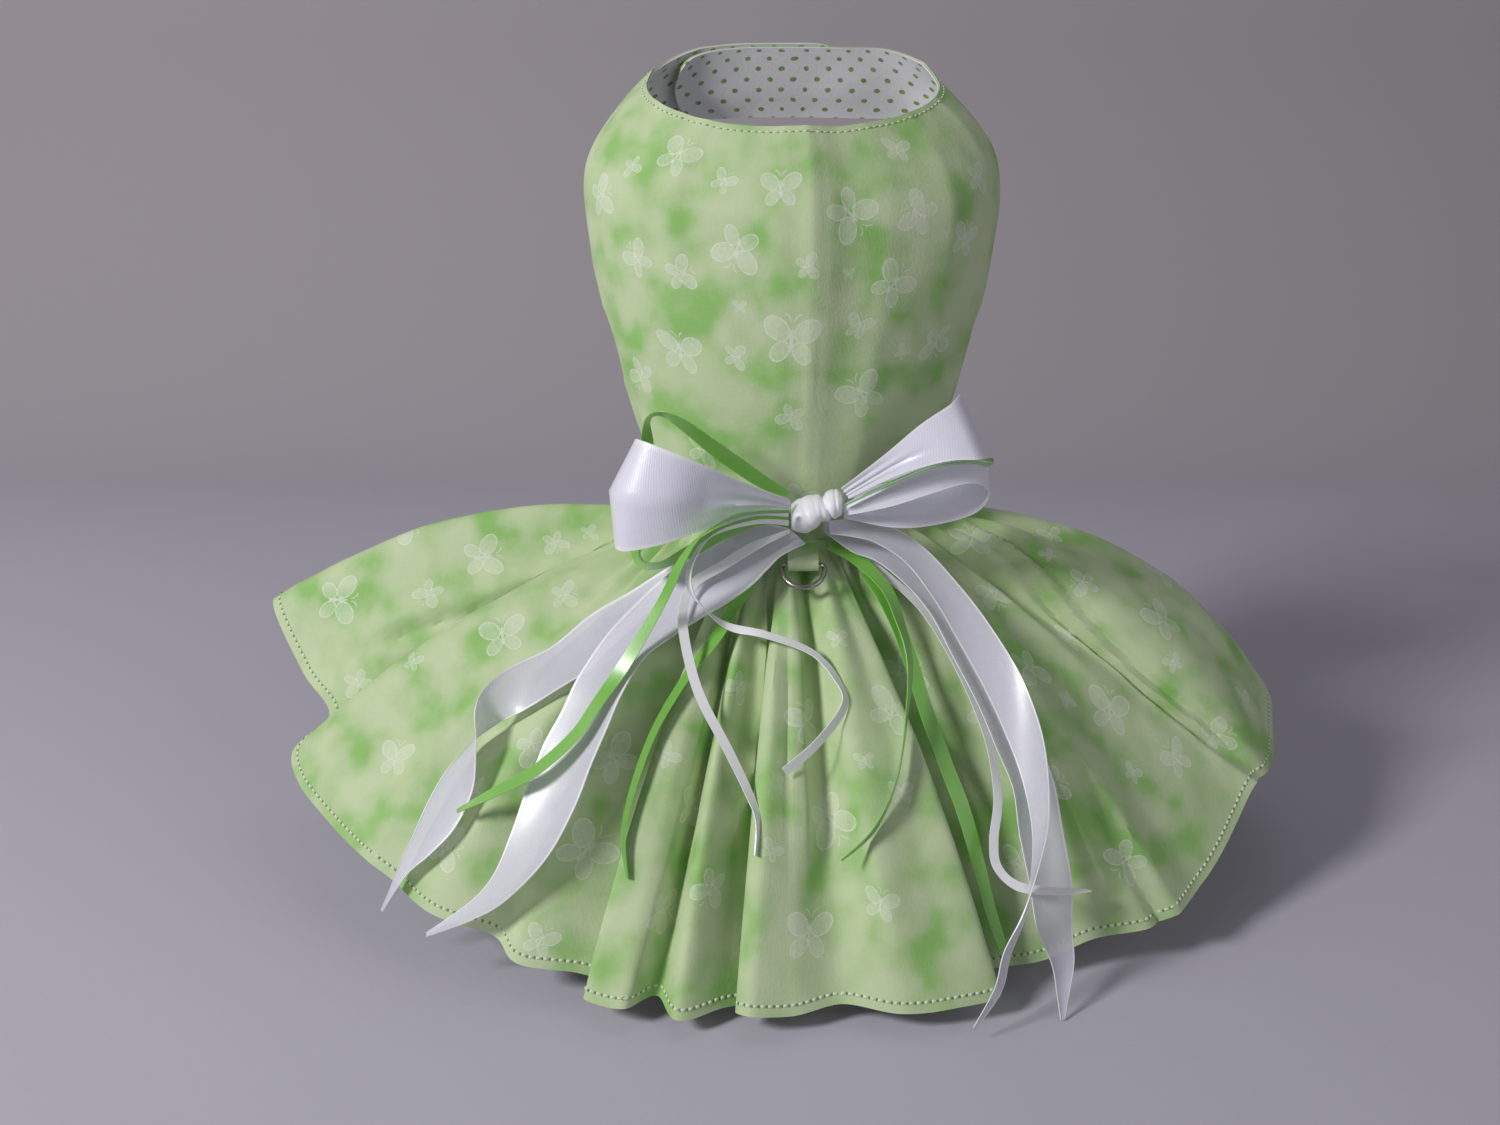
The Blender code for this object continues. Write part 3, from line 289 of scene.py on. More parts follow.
# Detail that the solids leave out.
COTTON_WALL = 0.45
TAB_WALL = 0.8
TAB_FACES = 12  # across the tab
RIBBON_WALL = 0.3
LINING_INSET = 0.6  # the lining lies against the outer cloth
FINER_PANEL = 5  # faces of the cloth for each face of the solid
FINER_STRAP = 6
SKIRT_STEPS = 12  # columns of faces from one fold to the next
SKIRT_FACES_DOWN = 66
CORNER_STOPS = (15.0, 30.0, 45.0, 60.0, 75.0, 90.0)
BODICE_CREASES = (
    # azimuth at the neck, azimuth at the waist, height, reach to the left, reach to the right, share of the
    # way down where it dies out
    (3.8, 4.2, 3.8, 34, 13, 0.6), (4.2, 4.4, 0.8, 1.8, 3, 0.75), (9, 8, 0.8, 5, 6, 0.92),
    (-3, -6, 0.5, 5, 6, 0.92), (-34, -33, 0.9, 9, 6, 0.4), (-46, -44, 0.6, 7, 6, 1.2),
    (47, 44, 0.8, 8, 7, 1.2), (27, 22, 0.6, 8, 8, 1.2), (70, 66, 0.7, 6, 8, 1.2),
    (-64, -62, 0.6, 8, 6, 0.8), (-108, -110, 0.5, 8, 8, 1.2), (118, 116, 0.5, 8, 8, 1.2),
    (-150, -148, 0.4, 10, 7, 1.2),
)
CREASE_FADE = 0.22  # share of the way down over which a crease dies out
SKIRT_CREASE_FADE = 0.2
CREASE_SHARPNESS = 1.6  # above 1 a crease's slopes are hollow and meet in a sharp line
SKIRT_CREASE_SHARPNESS = 1.5
PLEAT_SHARPNESS = 1.4
KNOT_FOLD_SHARPNESS = 1.3
PLEAT_FADE, PLEAT_INSIDE = 0.12, 0.02  # shares of a ribbon over which a pleat's ends fade out and in
SKIRT_CREASES = (
    # place at the waist, halfway and at the hem, shares of the way down where it starts and ends, height (a
    # hollow is below 0), reach to the left, reach to the right
    (36.3, 34.85, 35.0, 0.05, 1.2, 3.4, 1.0, 0.6), (36.95, 35.3, 35.55, 0.02, 0.95, -4.8, 0.55, 0.34),
    (37.25, 35.64, 35.85, 0.03, 1.05, 3.6, 0.36, 1.1), (31.8, 31.6, 31.8, 0.25, 1.2, -3.6, 1.1, 0.34),
    (32.15, 31.96, 32.25, 0.25, 1.2, 4.4, 0.36, 0.7), (34.0, 33.8, 34.0, 0.1, 0.7, 1.2, 0.6, 0.5),
    (38.7, 38.8, 39.4, 0.3, 1.2, 1.2, 0.7, 0.6), (6.95, 6.45, 6.0, 0.04, 0.92, -3.0, 0.5, 0.33),
    (7.3, 6.8, 6.4, 0.06, 1.0, 2.4, 0.34, 1.2), (5.3, 5.1, 4.8, 0.1, 0.8, 1.2, 0.7, 0.5),
    (9.5, 8.3, 8.5, 0.1, 1.1, 2.4, 0.5, 0.9), (11.2, 9.7, 9.8, 0.15, 1.2, -2.4, 0.6, 0.4),
    (12.0, 11.2, 11.1, 0.15, 0.9, 2.2, 0.4, 0.6), (13.0, 12.6, 12.6, 0.1, 0.8, -2.0, 0.5, 0.4),
    (17.4, 17.4, 17.1, 0.2, 1.2, 2.6, 0.6, 0.6), (20.0, 20.0, 19.0, 0.05, 0.75, -3.4, 0.5, 0.35),
    (22.3, 22.45, 22.4, 0.12, 1.2, 2.6, 0.7, 0.6), (23.4, 23.3, 23.6, 0.08, 0.8, -2.4, 0.5, 0.35),
    (24.6, 24.8, 25.2, 0.25, 0.95, 1.4, 0.5, 0.6), (2.6, 2.4, 2.3, 0.2, 1.2, 1.5, 0.7, 0.5),
    (41.2, 41.3, 41.4, 0.2, 1.2, 1.4, 0.5, 0.7),
)
CREASE_STEP = 0.02  # how far to each side the skirt is looked at for the direction off it
LOOK_ROUND, LOOK_DOWN = 0.5, 0.005  # the same for the bodice, in degrees and as a share
CLOTH_UNEVENNESS = 0.45  # height of the soft dents all over the cloth
DENT_SIZE = 24.0
FINE_DENT = 0.45  # size of the finer dents among them, as a share
SEAM_SHARE = 0.03  # share of the skirt's length that is drawn up into the waist seam
SEAM_RISE = 2.2  # how far the skirt's top edge goes up between the bodice's layers
SEAM_TUCK = 0.5  # how far it goes in
FINE_GATHERS = 61
FINE_GATHER_HEIGHT = 0.5
FINE_GATHER_LENGTH = 0.13  # share of the way down over which they die out
HEM_STITCH_LINE = 3.2  # from the skirt's edge
NECK_STITCH_LINE = 2.3  # from the neck's rim
KNOT_FOLDS = (
    # x of a fold's valley at the top and at the foot, depth, reach
    (2.6, 6.4, 0.18, 1.2), (6.2, 9.4, 0.14, 1.0), (9.6, 12.8, 1.0, 1.1), (13.4, 14.4, 0.3, 0.8),
)
KNOT_STEPS = 8
KNOT_SIZE = 1.03  # the knot stands this much proud of its solid between the folds
LOOP_PLEATS = {
    # place across from -1 to 1, height, reach across, shares of the length where it starts and ends
    "left": ((0.35, 0.9, 0.3, 0.86, 1.0), (-0.3, 1.1, 0.35, 0.82, 1.0), (-0.7, 0.5, 0.25, 0.9, 1.0),
             (0.15, 0.9, 0.5, 0.0, 0.1)),
    "right_upper": ((-0.15, 0.8, 0.3, 0.86, 1.0), (0.45, 0.6, 0.4, 0.92, 1.0), (-0.6, 0.5, 0.3, 0.92, 1.0),
                    (0.2, 0.8, 0.4, 0.0, 0.1)),
    "right_lower": ((0.1, 0.6, 0.5, 0.0, 0.2), (-0.3, 0.5, 0.4, 0.84, 1.0)),
}
SELVEDGE_PLACE = 10.0  # where the flat map puts a ribbon's edges, whatever its width
RIBBON_FINER = 10  # rows of faces from one station to the next
WIDE_FINER = 14  # faces across a wide ribbon
NARROW_FINER = 3

PANEL_BUTTERFLIES = (
    # azimuth, share of the way down, wingspan, heading clockwise from up
    (-37, 0.14, 15, 20), (-64, 0.31, 14, 60), (14, 0.29, 18, 135), (34, 0.31, 15, -60),
    (-15, 0.39, 17, 200), (33, 0.11, 10, 20), (-4, 0.22, 14, 0), (3, 0.43, 9, 80), (14, 0.45, 4.5, 0),
    (27, 0.48, 16, 40), (-15, 0.52, 5, 0), (-1, 0.58, 20, 5), (18, 0.56, 10, 20), (-19, 0.61, 9, 100),
    (37, 0.61, 6, 30), (23, 0.67, 17, -30), (-1, 0.70, 10, -160), (-39, 0.61, 17, 10), (-32, 0.46, 12, 70),
    (-47, 0.44, 13, -40), (51, 0.6, 14, 170), (-20, 0.2, 9, 30), (-52, 0.2, 8, 150), (-34, 0.77, 13, 100),
    (3, 0.86, 12, 20), (-62, 0.66, 14, 200), (52, 0.4, 13, 20), (60, 0.25, 11, 100), (40, 0.82, 12, 240),
    (-55, 0.86, 12, 20), (65, 0.84, 10, 60),
)
SKIRT_BUTTERFLIES = (
    # place along the folds, share of the way down, wingspan, heading clockwise from up
    (5.6, 0.84, 19, 30), (6.7, 0.9, 12, 100), (5.9, 0.46, 17, 10), (8.9, 0.45, 18, -60),
    (9.1, 0.29, 11, 30), (6.1, 0.28, 10, 90), (6.1, 0.62, 12, 150), (33.6, 0.25, 14, 200),
    (32.4, 0.42, 18, 190), (33.5, 0.61, 19, 60), (36.4, 0.6, 19, 20), (35.4, 0.86, 15, 110),
    (33.9, 0.8, 14, 10), (26.4, 0.40, 18, 40), (23.4, 0.41, 17, -20), (24.1, 0.62, 19, 150),
    (13.5, 0.75, 20, 30), (15.6, 0.9, 16, 200), (10.7, 0.87, 16, 80), (27.5, 0.75, 18, -30),
    (24.9, 0.79, 12, 20), (23.4, 0.85, 18, 10), (31.9, 0.86, 16, 250), (25.1, 0.5, 7, 0),
    (36.6, 0.88, 12, 45), (9.1, 0.8, 15, -30), (11.2, 0.6, 14, 120), (17.7, 0.6, 16, 10),
    (31.4, 0.66, 13, 90), (19.4, 0.75, 14, 200), (22.6, 0.68, 8, 30), (17.5, 0.82, 15, 100),
    (36.0, 0.40, 12, -40), (37.3, 0.30, 10, 60), (25.1, 0.23, 8, 0), (35.8, 0.67, 8, 20),
    (32.8, 0.52, 8, 200), (33.0, 0.73, 8, 70), (36.2, 0.3, 7, 30), (8.0, 0.53, 8, 80), (8.3, 0.64, 8, -30),
    (6.1, 0.19, 7, 10), (10.6, 0.74, 9, 60), (25.9, 0.57, 9, 10), (16.7, 0.5, 9, 40),
)
GIRTH_LEVEL = 0.1  # share of the way down where the bodice's flat map is true to size
BODICE_DEPTH = 145.0  # length of the bodice's cloth from the neck rim to the waist
SCATTER_SPACING = 27.0  # least distance between butterflies on the sides that the table leaves out
SCATTER_EDGE = 8.0  # least distance from the cloth's edges
SCATTER_TRIES = 700
SCATTER_SEED = 11
SCATTER_SPANS = (9, 12, 16, 18)  # wingspans
NO_BUTTERFLY = 9.0  # a place far outside any butterfly, in half wingspans

# The print's butterfly, in half wingspans with its head up: centre, radii and lean of each ellipse.
FORE_WING = ((0.50, 0.34), (0.50, 0.36), 38)
HIND_WING = ((0.36, -0.40), (0.40, 0.28), -52)
BUTTERFLY_BODY = ((0.0, 0.0), (0.07, 0.46), 0)
FEELER = ((0.30, 0.50), (0.26, 0.36), 0)
FORE_FILL, HIND_FILL = 0.52, 0.46  # how strongly the insides of the wings are printed

# Finishes: sizes of their grain, threads and marks, and how deep these are.
COTTON_GRAIN, LINING_GRAIN = 1.1, 1.0
THREADS_DEPTH = 0.05
DOT_WANDER, WANDER_SIZE = 0.3, 3.0  # how far the edges of the dots wander, and over what length
SATIN_STREAKS, SATIN_GRAIN = 6.0, 0.5
RIB_PITCH, RIB_DEPTH = 0.9, 0.03
TWIST_SIZE, TWIST_DEPTH = 0.4, 0.05
TARNISH_SIZE, MARKS_SIZE, MARKS_DEPTH = 4.0, 0.6, 0.01
PAPER_CLOUDS, TOOTH_SIZE, TOOTH_DEPTH = 500.0, 2.0, 0.05
WALL_FROM, WALL_TO = 250.0, 800.0  # where the floor's colour turns into the wall's

# Stitches, as shares of their length and of their thread's radius.
STITCH_RINGS = ((-0.5, 0.3), (-0.36, 0.85), (0.0, 1.0), (0.36, 0.85), (0.5, 0.3))
STITCH_SIDES = 6
STITCH_SHARE = 0.82  # share of the pitch that a stitch covers
STITCH_PROUD, STITCH_SUNK = 0.2, 2.2  # how far its middle stands off the cloth, and its ends dip
# Needle holes are flat dark discs of painted shade, for the shade in the dips between the stitches.
HOLE_SHADE_SIDES = 8
HOLE_SHADE_SHARE = 0.16  # half the length of a needle hole's disc of painted shade, as a share of the pitch
HOLE_SHADE_LIFT = 0.06
NECK_STITCH_WIDTH, HEM_STITCH_WIDTH = 0.9, 1.8  # how much wider than their thread
NEAR_RIM, NEAR_HEM = 0.05, 0.03  # shares of the cloth over which the stitches' lines are measured
HEM_STEP = 0.1  # from one point of the hem's line to the next, in places of the folds' table
NECK_STITCHES_SHORT = 4  # degrees by which the neck's stitches stop short of the straps' ends

# Studio: camera and lights in metres, and the sweep of paper in millimetres like the dress.
CAMERA_PLACE = (-0.0145, -0.5315, 0.00715)
CAMERA_TILT = 71.5  # degrees up from straight down
CAMERA_LENS = 36.0  # in millimetres, and the frame is as wide
FLOOR_GAP = 0.3  # the floor lies this far under the dress
FLOOR_FRONT, FLOOR_BACK = -1500.0, 500.0
SWEEP_BEND = 300.0  # radius where the floor turns up into the wall
WALL_TOP = 1800.0
SWEEP_HALF_WIDTH = 2000.0
LIGHTS_AIM = (0, 0, -0.15)
LIGHTS = (
    # name, place, size, power, colour
    ("key", (-1.1, -0.8, 0.68), 0.36, 17.6, (1.0, 0.99, 1.0)),
    ("fill", (1.1, -0.9, 0.5), 1.2, 3.15, (0.95, 0.96, 1.0)),
    ("top", (0.1, 0.3, 1.2), 1.0, 1.2, (0.97, 0.96, 1.0)),
)
AMBIENT_COLOUR = (0.62, 0.62, 0.68, 1.0)
AMBIENT_STRENGTH = 0.16


def linear(*shown):
    """A colour given as it looks on screen, from 0 to 255, turned into Blender's linear values."""
    return (*[((v / 255 + 0.055) / 1.055) ** 2.4 for v in shown], 1.0)


def shaded(colour, share):
    """The colour with its light multiplied by a share."""
    return [min(v * share, 1.0) for v in colour[:3]] + [1.0]


def length_property(name, description, size, least):
    """A length that a user may change, given in millimetres."""
    return FloatProperty(name=name, description=description, default=size * MM, min=least * MM,
                         unit="LENGTH")


def colour_property(name, description, *shown):
    """A colour that a user may change, given as it looks on screen."""
    return FloatVectorProperty(name=name, description=description, default=linear(*shown), size=4,
                               subtype="COLOR")


class DressSizes(bpy.types.PropertyGroup):
    """Sizes of the finer detail."""
    stitch_length: length_property("Stitch length", "From one stitch to the next", 2.4, 0.5)
    thread: length_property("Thread", "Thickness of the sewing thread", 0.6, 0.1)
    dot_pitch: length_property("Dot pitch", "From one pin dot to the next in a row", 8.5, 2)
    dot_row: length_property("Dot row", "From one row of dots to the next", 4.7, 2)
    dot_size: length_property("Dot size", "Diameter of a pin dot", 2.1, 0.5)
    cloud_size: length_property("Cloud size", "Size of the print's soft clouds", 17, 5)
    weave: length_property("Weave", "Distance between the cotton's threads", 0.4, 0.1)


class DressColours(bpy.types.PropertyGroup):
    """Colours of the cloth, ribbon, thread and metal, with painted shade for the needle holes and a white
    painted lighter for the narrow ribbon.
    """
    pale_green: colour_property("Pale green", "Lightest part of the print", 199, 215, 170)
    mid_green: colour_property("Mid green", "Ground of the print", 184, 207, 154)
    fresh_green: colour_property("Fresh green", "Clouds of the print", 146, 195, 108)
    butterfly: colour_property("Butterfly", "Butterflies of the print", 228, 234, 216)
    lining: colour_property("Lining", "Ground of the lining", 228, 228, 230)
    dots: colour_property("Dots", "Pin dots of the lining", 112, 150, 62)
    white_satin: colour_property("White satin", "White ribbon", 239, 237, 250)
    # The narrow ribbon's white is the wide ribbon's white painted lighter: painted light for the narrow
    # ribbons' sides that face away from the lights
    lightened_narrow_white: colour_property("Narrow white satin", "White satin painted lighter for the narrow ribbons, whose sides face away from the lights", 253, 252, 255)
    green_satin: colour_property("Green satin", "Green ribbon", 120, 192, 62)
    thread: colour_property("Thread", "Sewing thread", 224, 236, 204)
    # The needle holes' dark green is painted shade, laid as flat discs where the cloth dips at the
    # stitches' ends
    hole_shade: colour_property("Needle hole shade", "Shaded dips at the ends of the stitches", 112, 142, 82)
    nickel: colour_property("Nickel", "Leash ring", 176, 172, 166)
    studio: colour_property("Studio", "Floor", 190, 187, 199)
    wall: colour_property("Wall", "Backdrop", 178, 172, 176)


class Wire:
    """A shader socket that takes part in Python arithmetic by adding the Math nodes that it needs."""

    def __init__(self, finish, socket):
        self.finish = finish
        self.socket = socket

    def maths(self, operation, *values):
        return self.finish.add("ShaderNodeMath", {"operation": operation}, dict(enumerate(values)))

    def __add__(self, other):
        return self.maths("ADD", self, other)

    def __sub__(self, other):
        return self.maths("SUBTRACT", self, other)

    def __rsub__(self, other):
        return self.maths("SUBTRACT", other, self)

    def __mul__(self, other):
        return self.maths("MULTIPLY", self, other)

    def __truediv__(self, other):
        return self.maths("DIVIDE", self, other)

    def __pow__(self, other):
        return self.maths("POWER", self, other)

    def __abs__(self):
        return self.maths("ABSOLUTE", self)

    __radd__ = __add__
    __rmul__ = __mul__

    def floor(self):
        return self.maths("FLOOR", self)

    def fraction(self):
        return self.maths("FRACT", self)

    def sine(self):
        return self.maths("SINE", self)

    def most(self, other):
        return self.maths("MAXIMUM", self, other)

    def rise(self, low, high):
        """0 below low, 1 above high and a smooth step between."""
        sockets = {"Value": self, "From Min": low, "From Max": high}
        return self.finish.add("ShaderNodeMapRange", {"interpolation_type": "SMOOTHSTEP"}, sockets)


class Finish:
    """A material with one Principled shader, whose sockets are set by name."""

    def __init__(self, name, **constants):
        self.made = bpy.data.materials.new(name)
        self.made.use_nodes = True
        self.tree = self.made.node_tree
        self.shader = self.tree.nodes["Principled BSDF"]
        for socket, value in constants.items():
            self.shader.inputs[socket.replace("_", " ")].default_value = value

    def add(self, kind, settings=None, sockets=None, result=0):
        node = self.tree.nodes.new(kind)
        for name, value in (settings or {}).items():
            setattr(node, name, value)
        for name, value in (sockets or {}).items():
            self.join(value, node.inputs[name])
        return Wire(self, node.outputs[result])

    def join(self, value, socket):
        if isinstance(value, Wire):
            self.tree.links.new(value.socket, socket)
        else:
            socket.default_value = value

    def feed(self, socket, value):
        self.join(value, self.shader.inputs[socket])

    def place(self):
        return self.add("ShaderNodeTexCoord", result="Object")

    def flat(self, name):
        """The two coordinates of a flat map of the cloth."""
        spot = self.add("ShaderNodeUVMap", {"uv_map": name})
        return [self.add("ShaderNodeSeparateXYZ", None, {0: spot}, axis) for axis in (0, 1)]

    def cloud(self, place, size, detail=2.0, roughness=0.5):
        sockets = {"Vector": place, "Scale": 1 / size, "Detail": detail, "Roughness": roughness}
        return self.add("ShaderNodeTexNoise", {"noise_dimensions": "3D"}, sockets)

    def blend(self, share, first, second):
        """A colour that goes from first to second with the share."""
        settings = {"data_type": "RGBA"}
        return self.add("ShaderNodeMix", settings, {0: share, 6: first, 7: second}, result=2)

    def grain(self, size, detail=2.0, low=0.3, high=0.7):
        """Clouds with more contrast, from 0 to 1."""
        return self.cloud(self.place(), size, detail).rise(low, high)

    def relief(self, height, depth):
        bump = self.add("ShaderNodeBump", None, {"Height": height, "Distance": depth})
        self.feed("Normal", bump)

    def weave(self, across, down, pitch, grain, smoothest):
        """Crossing threads of cotton, whose roughness goes up with the grain."""
        turns = 2 * math.pi / pitch
        threads = (across * turns).sine() * 0.5 + (down * turns).sine() * 0.5
        self.feed("Roughness", smoothest + 0.12 * grain)
        self.relief(threads * 0.35 + grain * 0.65, THREADS_DEPTH * MM)


def wing(side, height, centre, radii, lean):
    """0 in the middle of a wing and 1 on its edge, for a place in the butterfly's frame."""
    turn = math.radians(lean)
    x, y = side - centre[0], height - centre[1]
    along = (x * math.cos(turn) + y * math.sin(turn)) / radii[0]
    across = (y * math.cos(turn) - x * math.sin(turn)) / radii[1]
    return (along * along + across * across) ** 0.5


def outlined(edge, fill):
    """A wing with a soft fill and a brighter outline."""
    inside = 1 - edge.rise(0.9, 1.0)
    line = 1 - abs(edge - 0.93).rise(0.03, 0.11)
    return (inside * fill).most(line)


def butterfly(finish):
    """A simple butterfly from ellipses, in the frame of the nearest motif: its head is towards +Y."""
    x, height = finish.flat("butterfly")
    side = abs(x)
    fore = outlined(wing(side, height, *FORE_WING), FORE_FILL)
    hind = outlined(wing(side, height, *HIND_WING), HIND_FILL)
    body = 1 - wing(side, height, *BUTTERFLY_BODY).rise(0.75, 1.0)
    curl = abs(wing(side, height, *FEELER) - 1)
    feeler = (1 - curl.rise(0.04, 0.12)) * height.rise(0.55, 0.62) * (1 - side.rise(0.24, 0.3))
    return fore.most(hind).most(body).most(feeler * 0.8)


def printed_cotton(name, sizes, colours, washed=0.0):
    """Mottled green print with butterflies; washed is how much of the print the reverse loses."""
    cotton = Finish(name, Sheen_Weight=0.12, Sheen_Roughness=0.5)
    place = cotton.place()
    broad = cotton.cloud(place, sizes.cloud_size, 1.0)
    patchy = cotton.cloud(place, sizes.cloud_size / 2.4, 2.5)
    mixed = broad * 0.76 + patchy * 0.24
    ground = cotton.blend(mixed.rise(0.36, 0.55), colours.pale_green, colours.mid_green)
    ground = cotton.blend(mixed.rise(0.49, 0.68), ground, colours.fresh_green)
    grain = cotton.grain(COTTON_GRAIN * MM)
    motif = butterfly(cotton) * (0.55 + 0.45 * grain)
    printed = cotton.blend(motif * 0.9, ground, colours.butterfly)
    if washed:
        printed = cotton.blend(washed, printed, colours.butterfly)
    cotton.feed("Base Color", printed)
    cotton.weave(*cotton.flat("cloth"), sizes.weave, grain, 0.76)
    return cotton.made


def dotted_cotton(name, sizes, colours):
    """White lining with staggered pin dots."""
    cotton = Finish(name, Sheen_Weight=0.12)
    across, down = cotton.flat("cloth")
    wander = (cotton.cloud(cotton.place(), WANDER_SIZE * MM, 1.0) - 0.5) * DOT_WANDER * MM
    row = (down / sizes.dot_row).floor()
    shift = (row * 0.5).fraction()
    x = ((across / sizes.dot_pitch + shift).fraction() - 0.5) * sizes.dot_pitch
    y = ((down / sizes.dot_row).fraction() - 0.5) * sizes.dot_row
    distance = (x * x + y * y) ** 0.5 + wander
    dot = 1 - distance.rise(sizes.dot_size * 0.42, sizes.dot_size * 0.56)
    grain = cotton.grain(LINING_GRAIN * MM)
    cotton.feed("Base Color", cotton.blend(dot * (0.8 + 0.2 * grain), colours.lining, colours.dots))
    cotton.weave(across, down, sizes.weave, grain, 0.78)
    return cotton.made


def satin(name, colour, dark, roughness, alpha=1.0, gloss=0.6):
    """Ribbon satin with fine slanted ribs and a firmer, brighter woven edge; dark is how much of the colour
    its streaks keep."""
    ribbon = Finish(name, Specular_IOR_Level=0.8, Sheen_Weight=0.3, Coat_Weight=gloss, Coat_Roughness=0.24)
    along, across = ribbon.flat("cloth")
    edge = (abs(across) / (SELVEDGE_PLACE * MM)).rise(0.88, 0.96)
    streak = ribbon.grain(SATIN_STREAKS * MM)
    grain = ribbon.grain(SATIN_GRAIN * MM, 1.0)
    body = ribbon.blend(streak * 0.35 + grain * 0.15, colour, shaded(colour, dark))
    ribbon.feed("Base Color", ribbon.blend(edge * 0.6, body, shaded(colour, 1.3)))
    ribbon.feed("Roughness", roughness + 0.08 * streak + 0.05 * grain)
    if alpha < 1:
        ribbon.feed("Alpha", alpha + (0.95 - alpha) * edge + 0.06 * streak)
    ribs = ((along + across * 0.4) * (2 * math.pi / (RIB_PITCH * MM))).sine() * 0.5 + grain * 0.5
    ribbon.relief(ribs, RIB_DEPTH * MM)
    return ribbon.made


def thread_finish(name, colour):
    """Twisted sewing thread."""
    thread = Finish(name, Roughness=0.6, Sheen_Weight=0.3)
    twist = thread.grain(TWIST_SIZE * MM, 1.0)
    thread.feed("Base Color", thread.blend(twist * 0.4, colour, shaded(colour, 0.7)))
    thread.relief(twist, TWIST_DEPTH * MM)
    return thread.made


def nickel_wire(name, colour):
    """Plated wire with faint drawing marks and a little tarnish."""
    wire = Finish(name, Metallic=1.0)
    tarnish = wire.grain(TARNISH_SIZE * MM, 3.0, 0.35, 0.75)
    marks = wire.grain(MARKS_SIZE * MM, 2.0, 0.35, 0.65)
    wire.feed("Base Color", wire.blend(tarnish * 0.4, colour, shaded(colour, 0.6)))
    wire.feed("Roughness", 0.18 + 0.14 * tarnish + 0.06 * marks)
    wire.relief(marks, MARKS_DEPTH * MM)
    return wire.made


def studio_paper(name, colour, wall):
    """Plain paper that is pale on the floor and greyer on the wall."""
    paper = Finish(name, Roughness=0.9, Specular_IOR_Level=0.2)
    back = paper.add("ShaderNodeSeparateXYZ", None, {0: paper.place()}, 1)
    far = back.rise(WALL_FROM * MM, WALL_TO * MM)
    ground = paper.blend(paper.grain(PAPER_CLOUDS * MM) * 0.2, colour, shaded(colour, 0.88))
    paper.feed("Base Color", paper.blend(far, ground, wall))
    paper.relief(paper.cloud(paper.place(), TOOTH_SIZE * MM, 3.0), TOOTH_DEPTH * MM)
    return paper.made


def cubic(before, start, end, after, t):
    """A smooth curve through start and end, shaped by the values on either side."""
    bend = 2 * before - 5 * start + 4 * end - after
    twist = 3 * (start - end) + after - before
    return start + 0.5 * t * (end - before + t * (bend + t * twist))


def smooth_row(rows, place):
    """Values at a place between the rows of a table, where place 1.5 is midway from row 1 to row 2."""
    last = len(rows) - 1
    index = min(int(place), last - 1)
    t = place - index
    picks = [rows[min(max(index + k, 0), last)] for k in (-1, 0, 1, 2)]
    return [cubic(*column, t) for column in zip(*picks)]


def smooth_at(rows, key):
    """Values of a table at a key between those in its first column."""
    last = len(rows) - 1
    index = 0
    while index < last - 1 and rows[index + 1][0] < key:
        index += 1
    t = (key - rows[index][0]) / (rows[index + 1][0] - rows[index][0])
    return smooth_row(rows, index + min(max(t, 0.0), 1.0))[1:]


def shares(count):
    return [k / count for k in range(count + 1)]


def step(low, high, value):
    """0 below low, 1 above high and a smooth step between."""
    t = min(max((value - low) / (high - low), 0.0), 1.0)
    return t * t * (3 - 2 * t)


def dents(point, size):
    """Soft unevenness of hand-sewn cloth, from -1 to 1."""
    return noise.noise(point / size) + 0.5 * noise.noise(point / (size * FINE_DENT))


def flat_map(columns):
    """Distances over the cloth in millimetres, along each row and down each column of a grid of points."""
    points = np.array([[tuple(point) for point in column] for column in columns])
    along, down = np.zeros(points.shape[:2]), np.zeros(points.shape[:2])
    along[1:] = np.cumsum(np.linalg.norm(np.diff(points, axis=0), axis=2), axis=0)
    down[:, 1:] = np.cumsum(np.linalg.norm(np.diff(points, axis=1), axis=2), axis=1)
    return along, down


def between_rows(values, place, axis):
    """Values of a grid along a line that lies between two of its rows or columns."""
    index = int(min(max(place, 0), values.shape[axis] - 2))
    first, second = np.take(values, index, axis), np.take(values, index + 1, axis)
    return first + (second - first) * (place - index)


def butterfly_map(along, down, butterflies):
    """For each face corner, its place in the frame of the face's nearest butterfly, in half wingspans."""
    corners = [(slice(None, -1), slice(None, -1)), (slice(None, -1), slice(1, None)),
               (slice(1, None), slice(1, None)), (slice(1, None), slice(None, -1))]
    faces = (along.shape[0] - 1, along.shape[1] - 1)
    nearest = np.full(faces, NO_BUTTERFLY)
    places = np.full(faces + (4, 2), NO_BUTTERFLY)
    for column, row, wingspan, heading in butterflies:
        right = along - between_rows(along, column, 0)[None, :]
        up = between_rows(down, row, 1)[:, None] - down
        turn = math.radians(heading)
        x = (right * math.cos(turn) - up * math.sin(turn)) * 2 / wingspan
        y = (right * math.sin(turn) + up * math.cos(turn)) * 2 / wingspan
        distance = np.mean([np.hypot(x[c], y[c]) for c in corners], axis=0)
        nearer = distance < nearest
        nearest[nearer] = distance[nearer]
        for k, corner in enumerate(corners):
            places[nearer, k, 0] = x[corner][nearer]
            places[nearer, k, 1] = y[corner][nearer]
    return places


